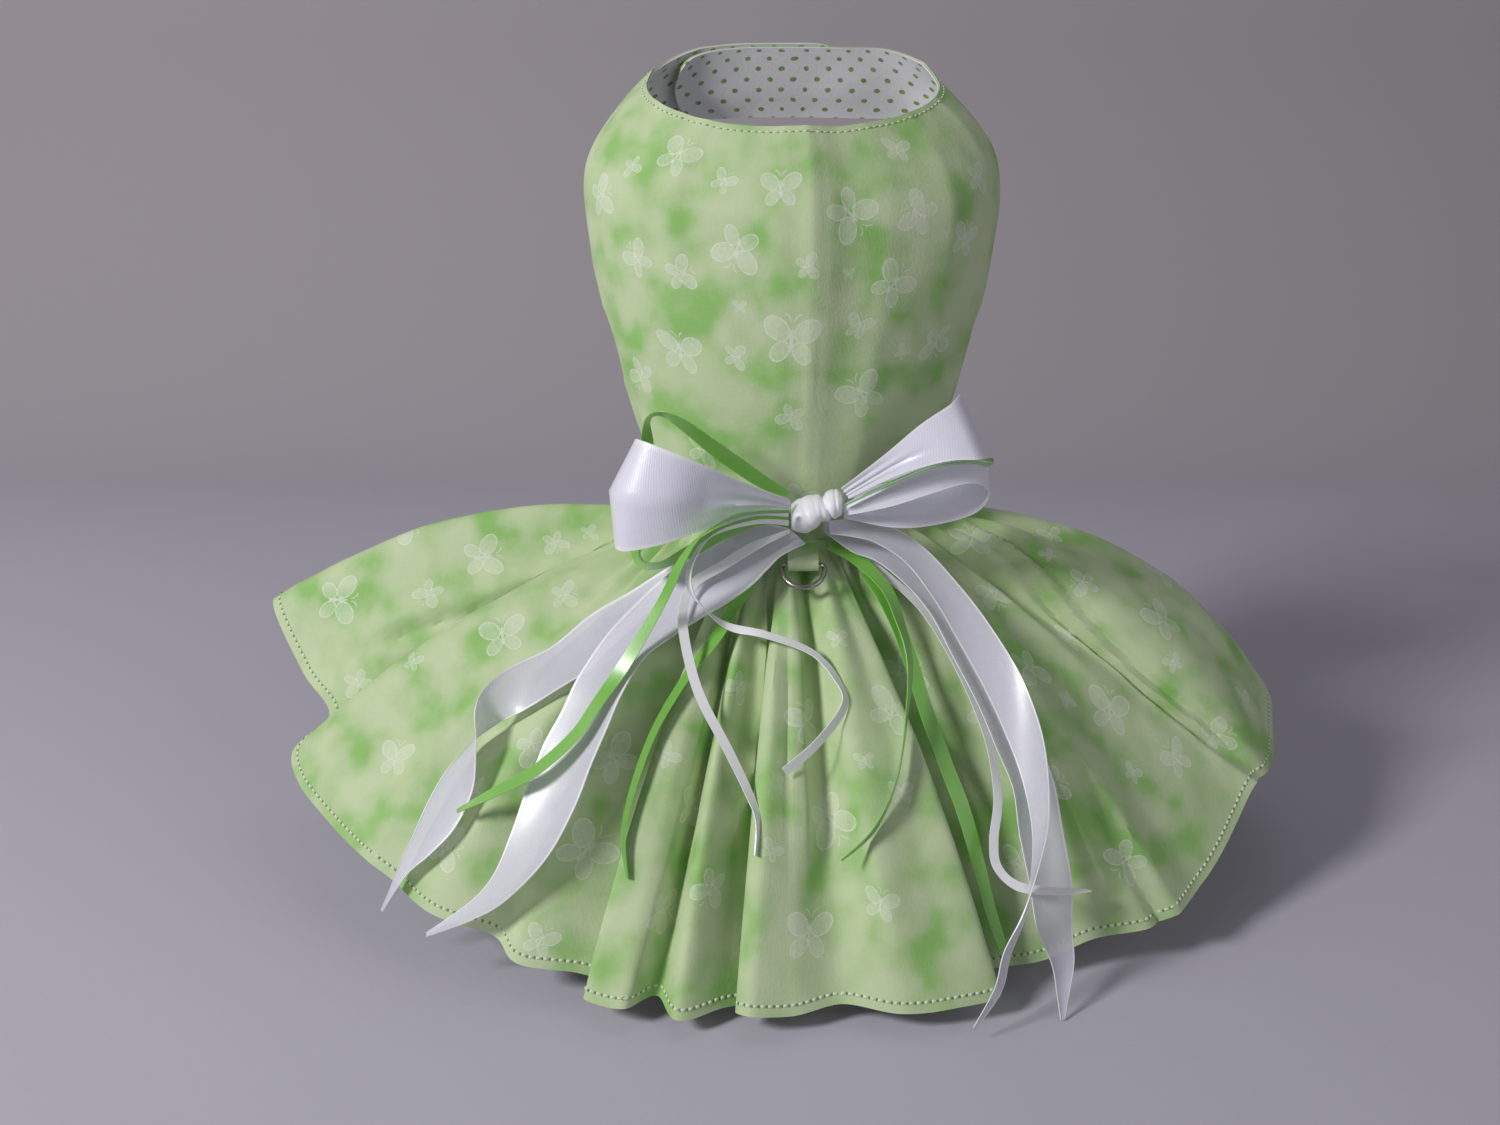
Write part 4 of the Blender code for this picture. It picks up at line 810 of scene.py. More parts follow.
def scatter(along, down, butterflies):
    """Adds butterflies where the table has none, at least the spacing apart, the same on each run."""
    chance = random.Random(SCATTER_SEED)
    found = list(butterflies)
    for _ in range(SCATTER_TRIES):
        column = chance.uniform(0, along.shape[0] - 1)
        row = chance.uniform(0, along.shape[1] - 1)
        right = between_rows(along, column, 0)
        up = between_rows(down, row, 1)
        spot = (np.interp(row, range(len(right)), right), np.interp(column, range(len(up)), up))
        clear = SCATTER_EDGE < spot[1] < np.interp(column, range(len(up)), down[:, -1]) - SCATTER_EDGE
        for other_column, other_row, *_ in found:
            across = spot[0] - np.interp(row, range(len(right)), between_rows(along, other_column, 0))
            apart = spot[1] - np.interp(column, range(len(up)), between_rows(down, other_row, 1))
            clear = clear and math.hypot(across, apart) > SCATTER_SPACING
        if clear:
            found.append((column, row, chance.choice(SCATTER_SPANS), chance.uniform(0, 360)))
    return found


def new_mesh():
    """An empty mesh with the cloth's two maps."""
    mesh = bmesh.new()
    mesh.loops.layers.uv.new("cloth")
    mesh.loops.layers.uv.new("butterfly")
    return mesh


def add_grid(mesh, columns, butterflies=(), flip=False, spots=None):
    """Adds a grid of points in millimetres, with the map of its butterflies and a flat map of the cloth,
    which is measured over the cloth unless spots give it."""
    cloth, motif = [mesh.loops.layers.uv[name] for name in ("cloth", "butterfly")]
    along, down = flat_map(columns)
    if spots is None:
        spots = [[(along[a, along.shape[1] // 2], down[a, b]) for b in range(len(column))]
                 for a, column in enumerate(columns)]
    frames = butterfly_map(along, down, butterflies)
    made = [[mesh.verts.new(point * MM) for point in column] for column in columns]
    for k in range(len(made) - 1):
        for j in range(len(made[k]) - 1):
            corners = [(k, j, 0), (k, j + 1, 1), (k + 1, j + 1, 2), (k + 1, j, 3)]
            if flip:
                corners.reverse()
            face = mesh.faces.new([made[a][b] for a, b, _ in corners])
            for loop, (a, b, corner) in zip(face.loops, corners):
                loop[cloth].uv = Vector(spots[a][b]) * MM
                loop[motif].uv = frames[k, j, corner]


def put(name, data):
    """Puts a new object into the scene."""
    made = bpy.data.objects.new(name, data)
    bpy.context.scene.collection.objects.link(made)
    return made


def mesh_piece(name, mesh, materials):
    """Turns a finished mesh into an object with its materials."""
    data = bpy.data.meshes.new(name)
    mesh.to_mesh(data)
    mesh.free()
    for material in materials:
        data.materials.append(material)
    return put(name, data)


def add_piece(name, mesh, materials, wall=None, offset=0.0):
    """Makes a piece from a surface, with a wall of that many millimetres where it is open."""
    bmesh.ops.remove_doubles(mesh, verts=mesh.verts, dist=MERGE * MM)
    piece = mesh_piece(name, mesh, materials)
    if wall:
        shell = piece.modifiers.new("wall", "SOLIDIFY")
        shell.thickness = wall * MM
        shell.offset = offset
        shell.use_even_offset = False
        shell.material_offset = len(materials) - 1
        solid = piece.evaluated_get(bpy.context.evaluated_depsgraph_get())
        piece.data = bpy.data.meshes.new_from_object(solid)
        piece.data.name = name
        piece.modifiers.clear()
    piece.data.set_sharp_from_angle(angle=math.radians(SHARP_EDGE))
    return piece


def dress_piece(piece, slot, *nodes, body="dress"):
    """Puts a piece on its body, in place of its solids."""
    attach(piece, body)
    if nodes:
        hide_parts(*nodes)
    return piece


def bodice_surface(azimuth, down):
    """A point of the bodice's outer face at a share of the way from the neck rim down to the waist."""
    front, back, half_width, to_front, to_back, square = smooth_row(RINGS, down * (len(RINGS) - 1))
    turn = math.radians(azimuth)
    across, along = math.sin(turn), math.cos(turn)
    height = front + (back - front) * (1 - along) / 2
    if along > 0:
        return Vector((half_width * across, -to_front * along, height))
    across = math.copysign(abs(across) ** square, across)
    return Vector((half_width * across, to_back * abs(along) ** square, height))


def bodice_inward(azimuth, down):
    """The direction into the body, square to the cloth."""
    step_round = bodice_surface(azimuth + LOOK_ROUND, down) - bodice_surface(azimuth - LOOK_ROUND, down)
    step_down = bodice_surface(azimuth, down + LOOK_DOWN) - bodice_surface(azimuth, down - LOOK_DOWN)
    return step_round.cross(step_down).normalized()


def pressed(azimuth, down):
    """Height of the creases that folding left down the bodice, which stand up to a sharp line."""
    height = 0.0
    for at_neck, at_waist, size, left, right, foot in BODICE_CREASES:
        off = azimuth - (at_neck + (at_waist - at_neck) * down)
        t = 1 - abs(off) / (left if off < 0 else right)
        if t > 0:
            worn = (0.8 + 0.2 * math.cos(9 * down + at_neck)) * (1 - step(foot, foot + CREASE_FADE, down))
            height += size * t ** CREASE_SHARPNESS * worn
    return height


def bodice_point(azimuth, down, inset):
    """A point of the bodice's cloth, creased and dented, and moved in by the inset."""
    surface = bodice_surface(azimuth, down)
    lift = pressed(azimuth, down) + CLOTH_UNEVENNESS * dents(surface, DENT_SIZE)
    return surface + bodice_inward(azimuth, down) * (inset - lift)


def strap_shift(azimuth):
    """How far the right strap has moved inside the left one at an azimuth."""
    return OVERLAP_SHIFT * step(OVERLAP_FROM, OVERLAP_TO, azimuth)


def taper(azimuth):
    """0 where the straps leave the panel and 1 where they have reached their own width."""
    return min((abs(azimuth) - PANEL_EDGE) / NECK_STRAP_TAPER, 1.0)


def neck_strap_foot(azimuth):
    return NECK_STRAP_FOOT + (ARMHOLE_TOP - NECK_STRAP_FOOT) * (1 - taper(azimuth)) ** 2


def belly_strap_top(azimuth):
    return ARMHOLE_FOOT + (BELLY_STRAP_TOP - ARMHOLE_FOOT) * taper(azimuth)


def panel_rows():
    """Shares of the way down of the panel's rows: above, beside and below the armholes."""
    stretches = ((0.0, ARMHOLE_TOP, FACES_ABOVE), (ARMHOLE_TOP, ARMHOLE_FOOT, FACES_AT_ARMHOLE),
                 (ARMHOLE_FOOT, 1.0, FACES_BELOW))
    rows = [0.0]
    for top, foot, faces in stretches:
        rows += [top + (foot - top) * t for t in shares(faces * FINER_PANEL)[1:]]
    return rows


def panel_column(across, rows):
    """Azimuths and shares of the way down of a column of the panel, which the armholes cut into."""
    middle = (ARMHOLE_TOP + ARMHOLE_FOOT) / 2
    half = (ARMHOLE_FOOT - ARMHOLE_TOP) / 2
    column = []
    for down in rows:
        inside = max(1 - ((down - middle) / half) ** 2, 0.0)
        edge = PANEL_EDGE - ARMHOLE_DEPTH * math.sqrt(inside)
        column.append((across * edge, down, 0.0))
    return column


def strap_stops(end):
    """Azimuths of a strap's columns, closer together round the corners of its end."""
    corner = math.degrees(STRAP_CORNER / STRAP_BODY_RADIUS)
    reach = abs(end) - PANEL_EDGE - corner
    stops = [PANEL_EDGE + reach * t for t in shares(FACES_ALONG_STRAP * FINER_STRAP)]
    return stops + [abs(end) - corner * (1 - math.sin(math.radians(a))) for a in CORNER_STOPS]


def strap_edges(end, stop, top, foot):
    """Shares of the way down of a strap's two edges, drawn in round the corners of its end."""
    side = 1 if end > 0 else -1
    corner = math.degrees(STRAP_CORNER / STRAP_BODY_RADIUS)
    past = max(stop - (abs(end) - corner), 0.0) / corner
    cut = STRAP_CORNER * (1 - math.sqrt(max(1 - past * past, 0.0)))
    upper, lower = top(stop), foot(stop)
    span = (bodice_surface(side * stop, upper) - bodice_surface(side * stop, lower)).length
    trim = (lower - upper) * cut / span
    return upper + trim, lower - trim


def strap_columns(end, cut_back, faces_high, top, foot):
    """Azimuths, shares of the way down and shifts of a strap, whose columns lean towards its end."""
    side = 1 if end > 0 else -1
    columns = []
    for stop in strap_stops(end):
        upper, lower = strap_edges(end, stop, top, foot)
        moved = strap_shift(stop) if side > 0 else 0.0
        slant = cut_back * ((stop - PANEL_EDGE) / (abs(end) - PANEL_EDGE)) ** 2 / (foot(stop) - top(stop))
        column = []
        for t in shares(faces_high * FINER_PANEL):
            down = upper + (lower - upper) * t
            column.append((side * (stop - slant * (down - top(stop))), down, moved))
        columns.append(column)
    return columns


STRAPS = [(*end, FACES_ABOVE, lambda azimuth: 0.0, neck_strap_foot) for end in NECK_ENDS]
STRAPS += [(*end, FACES_BELOW, belly_strap_top, lambda azimuth: 1.0) for end in BELLY_ENDS]


def panel_places(butterflies, rows):
    """Turns azimuths and shares of the way down into columns and rows of the panel's grid."""
    faces = FACES_ACROSS * FINER_PANEL
    places = []
    for azimuth, down, wingspan, heading in butterflies:
        row = np.interp(down, rows, range(len(rows)))
        places.append(((azimuth / PANEL_EDGE + 1) / 2 * faces, row, wingspan, heading))
    return places


def girth_line():
    """Azimuths round the body, and distances from the middle of the front to each of them."""
    azimuths = list(range(-240, 241, 2))
    points = [bodice_surface(azimuth, GIRTH_LEVEL) for azimuth in azimuths]
    run = np.cumsum([0.0] + [(b - a).length for a, b in zip(points, points[1:])])
    return azimuths, run - run[len(run) // 2]


def add_bodice_grid(mesh, places, inset, girth, butterflies=None, flip=False):
    """Adds part of a layer, whose flat map runs evenly round the body; None scatters its butterflies."""
    columns = [[bodice_point(azimuth, down, inset + moved) for azimuth, down, moved in column]
               for column in places]
    spots = [[(np.interp(azimuth, *girth), down * BODICE_DEPTH) for azimuth, down, _ in column]
             for column in places]
    found = scatter(*flat_map(columns), ()) if butterflies is None else butterflies
    add_grid(mesh, columns, found, flip, spots)


def make_bodice(name, inset, materials, printed):
    """One layer of the bodice: the panel, two neck straps and two belly straps, cut in one."""
    rows = panel_rows()
    girth = girth_line()
    panel = [panel_column(-1 + 2 * t, rows) for t in shares(FACES_ACROSS * FINER_PANEL)]
    mesh = new_mesh()
    add_bodice_grid(mesh, panel, inset, girth, panel_places(PANEL_BUTTERFLIES, rows) if printed else ())
    for end, *strap in STRAPS:
        add_bodice_grid(mesh, strap_columns(end, *strap), inset, girth, None if printed else (), end < 0)
    return add_piece(name, mesh, materials, COTTON_WALL, offset=-1.0)


def slope_point(at_waist, at_hem, radius, height, bulge, down, lift=0.0):
    """A point at a height over the slope from waist to hem, the direction that stands off it, square to the
    slope, and the waist's end of the slope."""
    turn = math.radians(at_waist)
    waist = Vector((WAIST_HALF_WIDTH * math.sin(turn), -WAIST_HALF_DEPTH * math.cos(turn), WAIST_HEIGHT))
    turn = math.radians(at_hem)
    outward = Vector((math.sin(turn), -math.cos(turn), 0.0))
    hem = outward * radius + Vector((0.0, 0.0, height))
    drop, run = waist.z - hem.z, (hem - waist).dot(outward)
    size = math.hypot(run, drop)
    rise = outward * (drop / size) + Vector((0.0, 0.0, run / size))
    return waist.lerp(hem, down) + rise * (bulge * 4 * down * (1 - down) + lift), rise, waist


def plain_skirt(place, down):
    """A point of the skirt without its small folds."""
    return slope_point(*smooth_row(FOLDS, place), down)[0]


def skirt_point(place, down):
    """A point of the skirt at a place along the folds' table and a share of the way to the hem."""
    row = smooth_row(FOLDS, place)
    point, rise, waist = slope_point(*row, down)
    ripple = gather(row[0], down) + fine_gather(row[0], down)
    caught = max(1 - down / SEAM_SHARE, 0.0)
    point = point + rise * (ripple * (1 - caught))
    crease = skirt_crease(place, down)
    if crease:
        across = plain_skirt(place + CREASE_STEP, down) - plain_skirt(place - CREASE_STEP, down)
        along = plain_skirt(place, down + CREASE_STEP) - plain_skirt(place, down - CREASE_STEP)
        off = across.cross(along).normalized()
        point += off * math.copysign(crease * (1 - caught), off.dot(rise))
    point += Vector((-waist.x, -waist.y, 0.0)).normalized() * (SEAM_TUCK * caught)
    point.z += SEAM_RISE * caught
    return point + rise * (CLOTH_UNEVENNESS * dents(point, DENT_SIZE) * min(down * 4, 1.0))


def gather(azimuth, down):
    """Height of the small uneven gathers, which are deepest just under the seam."""
    drift = 0.9 * math.sin(0.11 * azimuth) + 0.7 * math.sin(0.23 * azimuth + 1.0)
    size = GATHER_HEIGHT * (0.75 + 0.25 * math.sin(0.31 * azimuth + 0.5))
    wave = math.cos(2 * math.pi * GATHERS * azimuth / GATHERED_ARC + drift)
    grow = min(0.45 + down / GATHER_GROWTH, 1.0)
    return size * wave * grow * math.exp(-((down / GATHER_LENGTH) ** 1.5))


def fine_gather(azimuth, down):
    """Finer puckers between the gathers, which die out soon below the seam."""
    drift = 1.7 * math.sin(0.17 * azimuth + 2.0) + 0.9 * math.sin(0.41 * azimuth)
    wave = math.cos(2 * math.pi * FINE_GATHERS * azimuth / GATHERED_ARC + drift)
    return FINE_GATHER_HEIGHT * wave * math.exp(-((down / FINE_GATHER_LENGTH) ** 1.3))


def skirt_crease(place, down):
    """Height of the listed creases, each a sharp line with a slope on either side."""
    height = 0.0
    bend = 4 * down * (1 - down)
    for at_waist, halfway, at_hem, start, end, size, left, right in SKIRT_CREASES:
        off = place - (at_waist + (at_hem - at_waist) * down + (halfway - (at_waist + at_hem) / 2) * bend)
        t = 1 - abs(off) / (left if off < 0 else right)
        if t > 0:
            begun = step(start, start + SKIRT_CREASE_FADE, down)
            over = step(end - SKIRT_CREASE_FADE, end, down)
            height += size * t ** SKIRT_CREASE_SHARPNESS * begun * (1 - over)
    return height


def make_skirt(materials):
    mesh = new_mesh()
    count = (len(FOLDS) - 1) * SKIRT_STEPS
    downs = shares(SKIRT_FACES_DOWN)
    columns = [[skirt_point(k / SKIRT_STEPS, down) for down in downs] for k in range(count + 1)]
    places = [(place * SKIRT_STEPS, down * SKIRT_FACES_DOWN, wingspan, heading)
              for place, down, wingspan, heading in SKIRT_BUTTERFLIES]
    add_grid(mesh, columns, scatter(*flat_map(columns), places))
    return add_piece("skirt_cotton", mesh, materials, COTTON_WALL)


def circle(sides):
    """Cosines and sines round a circle."""
    return [(math.cos(2 * math.pi * k / sides), math.sin(2 * math.pi * k / sides)) for k in range(sides)]


def stitched(name, line, materials, sizes, wide):
    """Short stitches, with flat discs of painted shade at the needle holes between them, along a line of
    points and outward directions; wide is how much wider than their thread the stitches are."""
    points = [point for point, _ in line]
    run = [0.0]
    for a, b in zip(points, points[1:]):
        run.append(run[-1] + (b - a).length)
    pitch, radius = sizes.stitch_length / MM, sizes.thread / MM / 2
    mesh = bmesh.new()
    spots = np.arange(pitch / 2, run[-1], pitch)
    for spot in spots:
        index = min(int(np.searchsorted(run, spot)), len(run) - 1)
        t = (spot - run[index - 1]) / max(run[index] - run[index - 1], 1e-6)
        centre = points[index - 1].lerp(points[index], t)
        out = line[index][1].normalized()
        along = (points[index] - points[index - 1]).normalized()
        across = along.cross(out).normalized()
        rings = []
        for share, size in STITCH_RINGS:
            stands = radius * (STITCH_PROUD - STITCH_SUNK * (2 * share) ** 4)
            middle = centre + along * (share * pitch * STITCH_SHARE) + out * stands
            ring = []
            for c, s in circle(STITCH_SIDES):
                off = (across * (wide * c) + out * s) * radius * size
                ring.append(mesh.verts.new((middle + off) * MM))
            rings.append(ring)
        for a, b in zip(rings, rings[1:]):
            for k in range(STITCH_SIDES):
                mesh.faces.new((a[k - 1], b[k - 1], b[k], a[k]))
        mesh.faces.new(rings[0])
        mesh.faces.new(reversed(rings[-1]))
        # A flat dark disc at each needle hole: painted shade of the dip between two stitches.
        middle = centre + along * (pitch / 2) + out * HOLE_SHADE_LIFT
        hole_shade = [middle + along * (c * pitch * HOLE_SHADE_SHARE) + across * (s * radius * wide)
                for c, s in circle(HOLE_SHADE_SIDES)]
        mesh.faces.new([mesh.verts.new(point * MM) for point in hole_shade]).material_index = 1
    bmesh.ops.recalc_face_normals(mesh, faces=[face for face in mesh.faces if not face.material_index])
    piece = mesh_piece(name, mesh, materials)
    piece.data.polygons.foreach_set("use_smooth", [True] * len(piece.data.polygons))
    return piece


def neck_line():
    """The topstitching under the neck's rim, from one strap's end round the panel to the other's."""
    line = []
    first, last = NECK_ENDS[0][0] + NECK_STITCHES_SHORT, NECK_ENDS[1][0] - NECK_STITCHES_SHORT
    for azimuth in np.arange(first, last, 1.0):
        rise = (bodice_surface(azimuth, NEAR_RIM) - bodice_surface(azimuth, 0.0)).length
        down = NEAR_RIM * NECK_STITCH_LINE / rise
        moved = strap_shift(azimuth) if azimuth > 0 else 0.0
        point = bodice_point(azimuth, down, moved)
        line.append((point, -bodice_inward(azimuth, down)))
    return line


def hem_line():
    """The stitches along the hem, up to the skirt's rear right edge."""
    line = []
    last = len(FOLDS) - 1
    for place in np.arange(0, last + HEM_STEP / 10, HEM_STEP):
        foot = skirt_point(place, 1.0)
        down = 1 - NEAR_HEM * HEM_STITCH_LINE / (foot - skirt_point(place, 1 - NEAR_HEM)).length
        point, beside = skirt_point(place, down), skirt_point(min(place + HEM_STEP / 2, last), down)
        if (beside - point).length < 1e-6:
            break
        out = (foot - point).cross(beside - point).normalized()
        line.append((point + out * COTTON_WALL / 2, out))
    return line


def cover_point(azimuth, down, lift):
    """A point over the skirt's smooth cover, and the direction that stands off it."""
    return slope_point(azimuth, azimuth, *smooth_at(COVER, azimuth), down, lift)[:2]


def air_stations(rows):
    """Centres and width vectors of a ribbon that hangs in the air."""
    stations = []
    for x, y, z, width, lean, tip in rows:
        lean, tip = math.radians(lean), math.radians(tip)
        across = Vector((math.sin(lean) * math.cos(tip), -math.sin(tip), math.cos(lean) * math.cos(tip)))
        stations.append((Vector((x, y, z)), across * width))
    return stations


def laid_stations(rows):
    """Centres and width vectors of a ribbon laid over the skirt, turned about its own length."""
    points = [cover_point(*row[:3]) for row in rows]
    stations = []
    for k, (centre, rise) in enumerate(points):
        along = points[min(k + 1, len(points) - 1)][0] - points[max(k - 1, 0)][0]
        flat = along.cross(rise).normalized()
        up = flat.cross(along).normalized()
        turn = math.radians(rows[k][4])
        stations.append((centre, (flat * math.cos(turn) + up * math.sin(turn)) * rows[k][3]))
    return stations


def joined_stations(air, laid):
    """A stretch in the air followed by a laid stretch, with the width turned the same way in both."""
    over, resting = air_stations(air), laid_stations(laid)
    if over and over[-1][1].dot(resting[0][1]) < 0:
        over = [(centre, -width) for centre, width in over]
    return over + resting


def ribbon_line(stations):
    """Smooth centres and width vectors of a ribbon, finer than its stations."""
    rows = [list(centre) + list(width) for centre, width in stations]
    count = (len(rows) - 1) * RIBBON_FINER
    smooth = [smooth_row(rows, k / RIBBON_FINER) for k in range(count + 1)]
    return [Vector(row[:3]) for row in smooth], [Vector(row[3:]) for row in smooth]


def crease_height(share, across):
    """Height of the left loop's crease, sharp along the middle and highest at the loop's far end."""
    t = (share - CREASE_FROM) / (CREASE_TO - CREASE_FROM)
    return LEFT_CREASE * max(math.sin(math.pi * min(max(t, 0.0), 1.0)), 0.0) * (1 - abs(across))


def make_ribbon(name, materials, stations, faces_across, cup=0.0, pleats=(), creased=False):
    """A ribbon through its stations, whose pleats run along it and are deepest near its knotted ends."""
    centres, widths = ribbon_line(stations)
    count = len(centres) - 1
    columns = []
    for k, (centre, width) in enumerate(zip(centres, widths)):
        run = centres[min(k + 1, count)] - centres[max(k - 1, 0)]
        off = run.cross(width).normalized()
        column = []
        for t in shares(faces_across):
            across = 2 * t - 1
            lift = width.length * cup * (1 - across * across) + folded(k / count, across, pleats)
            lift += crease_height(k / count, across) if creased else 0.0
            column.append(centre + width * (across / 2) + off * lift)
        columns.append(column)
    mesh = new_mesh()
    along = flat_map(columns)[0][:, faces_across // 2]
    spots = [[(distance, SELVEDGE_PLACE * (2 * t - 1)) for t in shares(faces_across)]
             for distance in along]
    add_grid(mesh, columns, spots=spots)
    return add_piece(name, mesh, materials, RIBBON_WALL)


def folded(share, across, pleats):
    """Height of a ribbon's lengthwise pleats, each from its table row."""
    height = 0.0
    for middle, size, reach, start, end in pleats:
        t = 1 - abs(across - middle) / reach
        begun = step(start - PLEAT_FADE, start + PLEAT_INSIDE, share)
        over = step(end - PLEAT_INSIDE, end + PLEAT_FADE, share)
        if t > 0:
            height += size * t ** PLEAT_SHARPNESS * begun * (1 - over)
    return height


def declare_ribbon(stations):
    """Works out a wide ribbon's smooth centres and width vectors, which nothing uses."""
    centres, widths = ribbon_line(stations)


def make_cord(name, node, slot, materials, stations):
    """A narrow free ribbon, put on the dress in place of its solid."""
    piece = make_ribbon(name, materials, stations, NARROW_FINER)
    dress_piece(piece, slot, node)
    centres = ribbon_line(stations)[0]
    return piece


def knot_surface(place, turn):
    """A point of the knot, whose wrapped ribbon has folds that run round it."""
    x, height, half_height, y, half_depth = smooth_row(KNOT, place)
    size = KNOT_SIZE
    for at_top, at_foot, depth, reach in KNOT_FOLDS:
        off = x - at_top - (at_foot - at_top) * (1 - math.sin(turn)) / 2
        size -= depth / half_height * max(1 - abs(off) / reach, 0.0) ** KNOT_FOLD_SHARPNESS
    return Vector((x, y + half_depth * size * math.cos(turn), height + half_height * size * math.sin(turn)))


def make_knot(materials):
    mesh = new_mesh()
    columns = [[knot_surface(k / KNOT_STEPS, 2 * math.pi * t) for t in shares(KNOT_SIDES)]
               for k in range((len(KNOT) - 1) * KNOT_STEPS + 1)]
    add_grid(mesh, columns)
    bmesh.ops.remove_doubles(mesh, verts=mesh.verts, dist=MERGE * MM)
    bmesh.ops.holes_fill(mesh, edges=[e for e in mesh.edges if e.is_boundary], sides=0)
    bmesh.ops.recalc_face_normals(mesh, faces=mesh.faces)
    return add_piece("knot_satin", mesh, materials)


def ring_outline():
    """The ring's centreline in its own plane: x across, reach away from the bar."""
    half = RING_INSIDE / 2 + RING_WIRE
    corner = []
    for a in range(0, 90, 15):
        turn = math.radians(a)
        corner.append((half - RING_CORNER * (1 - math.sin(turn)), RING_CORNER * (1 - math.cos(turn))))
    bow = []
    for t in shares(RING_STEPS):
        turn = math.pi * t
        bow.append((half * math.cos(turn), RING_CORNER + (RING_REACH - RING_CORNER) * math.sin(turn)))
    return corner + bow + [(-x, reach) for x, reach in reversed(corner)]


def make_ring(material):
    slope = math.radians(RING_REST_ANGLE)
    curve = bpy.data.curves.new("leash_ring_wire", "CURVE")
    curve.dimensions = "3D"
    curve.bevel_depth = RING_WIRE * MM
    curve.bevel_resolution = 5
    points = ring_outline()
    path = curve.splines.new("POLY")
    path.points.add(len(points) - 1)
    for point, (x, reach) in zip(path.points, points):
        y = RING_BAR_Y - reach * math.cos(slope)
        z = RING_BAR_Z - reach * math.sin(slope)
        point.co = ((RING_X + x) * MM, y * MM, z * MM, 1.0)
    path.use_cyclic_u = True
    path.use_smooth = True
    curve.materials.append(material)
    return put("leash_ring_wire", curve)


def tab_path():
    """The strip's line: down from the seam, round the ring's bar and back up behind it."""
    turn_radius = RING_WIRE + RING_PLAY + CLOTH / 2
    top = Vector((0.0, TAB_TOP_Y, TAB_TOP_Z))
    bar = Vector((0.0, RING_BAR_Y, RING_BAR_Z))
    down = (bar - top).normalized()
    above = Vector((0.0, down.z, -down.y))
    start = CLOTH / 2 + SEAM_GAP / 2
    path = [top + above * start, top.lerp(bar, 0.5) + above * (start + turn_radius) / 2]
    for k in range(TAB_TURN_STEPS * 2 + 1):
        turn = math.radians(TAB_WRAP * (1 - k / TAB_TURN_STEPS))
        path.append(bar + above * (turn_radius * math.sin(turn)) + down * (turn_radius * math.cos(turn)))
    return path + [top - above * start]


def make_tab(materials):
    half = Vector((TAB_WIDTH / 2, 0.0, 0.0))
    middle = Vector((RING_X, 0.0, 0.0))
    mesh = new_mesh()
    columns = [[middle + point + half * (2 * t - 1) for t in shares(TAB_FACES)] for point in tab_path()]
    add_grid(mesh, columns)
    return add_piece("ring_tab_cotton", mesh, materials, TAB_WALL)


def sew(seam, name, line, sizes, colours, wide):
    """A row of stitches on the dress, in thread of its own, with painted shade at its needle holes."""
    threads = [thread_finish(seam + "_thread", colours.thread),
               thread_finish(seam + "_needle_hole_shade", colours.hole_shade)]
    return dress_piece(stitched(name, line, threads, sizes, wide), "printed_cotton")


class BuildOperator(bpy.types.Operator):
    bl_options = {"REGISTER", "UNDO"}

    def execute(self, context):
        self.build(context.scene.dress_sizes, context.scene.dress_colours)
        return {"FINISHED"}


class DRESS_OT_camera(BuildOperator):
    """Places the camera at the viewer's angle"""
    bl_idname = "dress.camera"
    bl_label = "Camera"

    def build(self, sizes, colours):
        data = bpy.data.cameras.new("camera")
        data.lens = data.sensor_width = CAMERA_LENS
        camera = put("camera", data)
        camera.location = CAMERA_PLACE
        camera.rotation_euler = (math.radians(CAMERA_TILT), 0.0, 0.0)
        bpy.context.scene.camera = camera


class DRESS_OT_narrow_ribbons(BuildOperator):
    """Makes the narrow white and green ribbons"""
    bl_idname = "dress.narrow_ribbons"
    bl_label = "Narrow ribbons"

    def build(self, sizes, colours):
        # The narrow white satin takes the lighter white: painted light, since the same satin as the wide
        # ribbon looks grey where the narrow ribbons face away from the lights.
        white = satin("narrow_white_satin_painted_lighter", colours.lightened_narrow_white, dark=0.96, roughness=0.32, gloss=0.9)
        green = satin("narrow_green_satin", colours.green_satin, dark=0.8, roughness=0.34)
        for name, air, laid in (("curl", WHITE_CURL_AIR, WHITE_CURL),
                                ("straight", WHITE_STRAIGHT_AIR, WHITE_STRAIGHT),
                                ("under", (), WHITE_UNDER)):
            make_cord("white_ribbon_" + name, "white_" + name, "white_satin", [white],
                      joined_stations(air, laid))
        for number, air, laid in ((1, GREEN_TAIL_1_AIR, GREEN_TAIL_1), (2, (), GREEN_TAIL_2),
                                  (3, (), GREEN_TAIL_3), (4, (), GREEN_TAIL_4)):
            make_cord("green_ribbon_%d" % number, "green_tail_%d" % number, "green_satin", [green],
                      joined_stations(air, laid))
        for name, rows in (("left", GREEN_LOOP_LEFT), ("right", GREEN_LOOP_RIGHT)):
            piece = make_ribbon("green_bow_" + name, [green], air_stations(rows), NARROW_FINER)
            dress_piece(piece, "green_satin", "green_loop_" + name)


class DRESS_OT_bodice(BuildOperator):
    """Makes the bodice's printed outer cloth and dotted lining"""
    bl_idname = "dress.bodice"
    bl_label = "Bodice"

    def build(self, sizes, colours):
        front = printed_cotton("printed_cotton", sizes, colours)
        outer = make_bodice("bodice_cotton", 0.0, [front], True)
        dress_piece(outer, "printed_cotton", "bodice_outer")
        dots = dotted_cotton("dotted_cotton", sizes, colours)
        lining = make_bodice("bodice_dots", LINING_INSET, [dots], False)
        dress_piece(lining, "dotted_cotton", "bodice_lining")
        seam = sew("neck", "neck_topstitching", neck_line(), sizes, colours, NECK_STITCH_WIDTH)


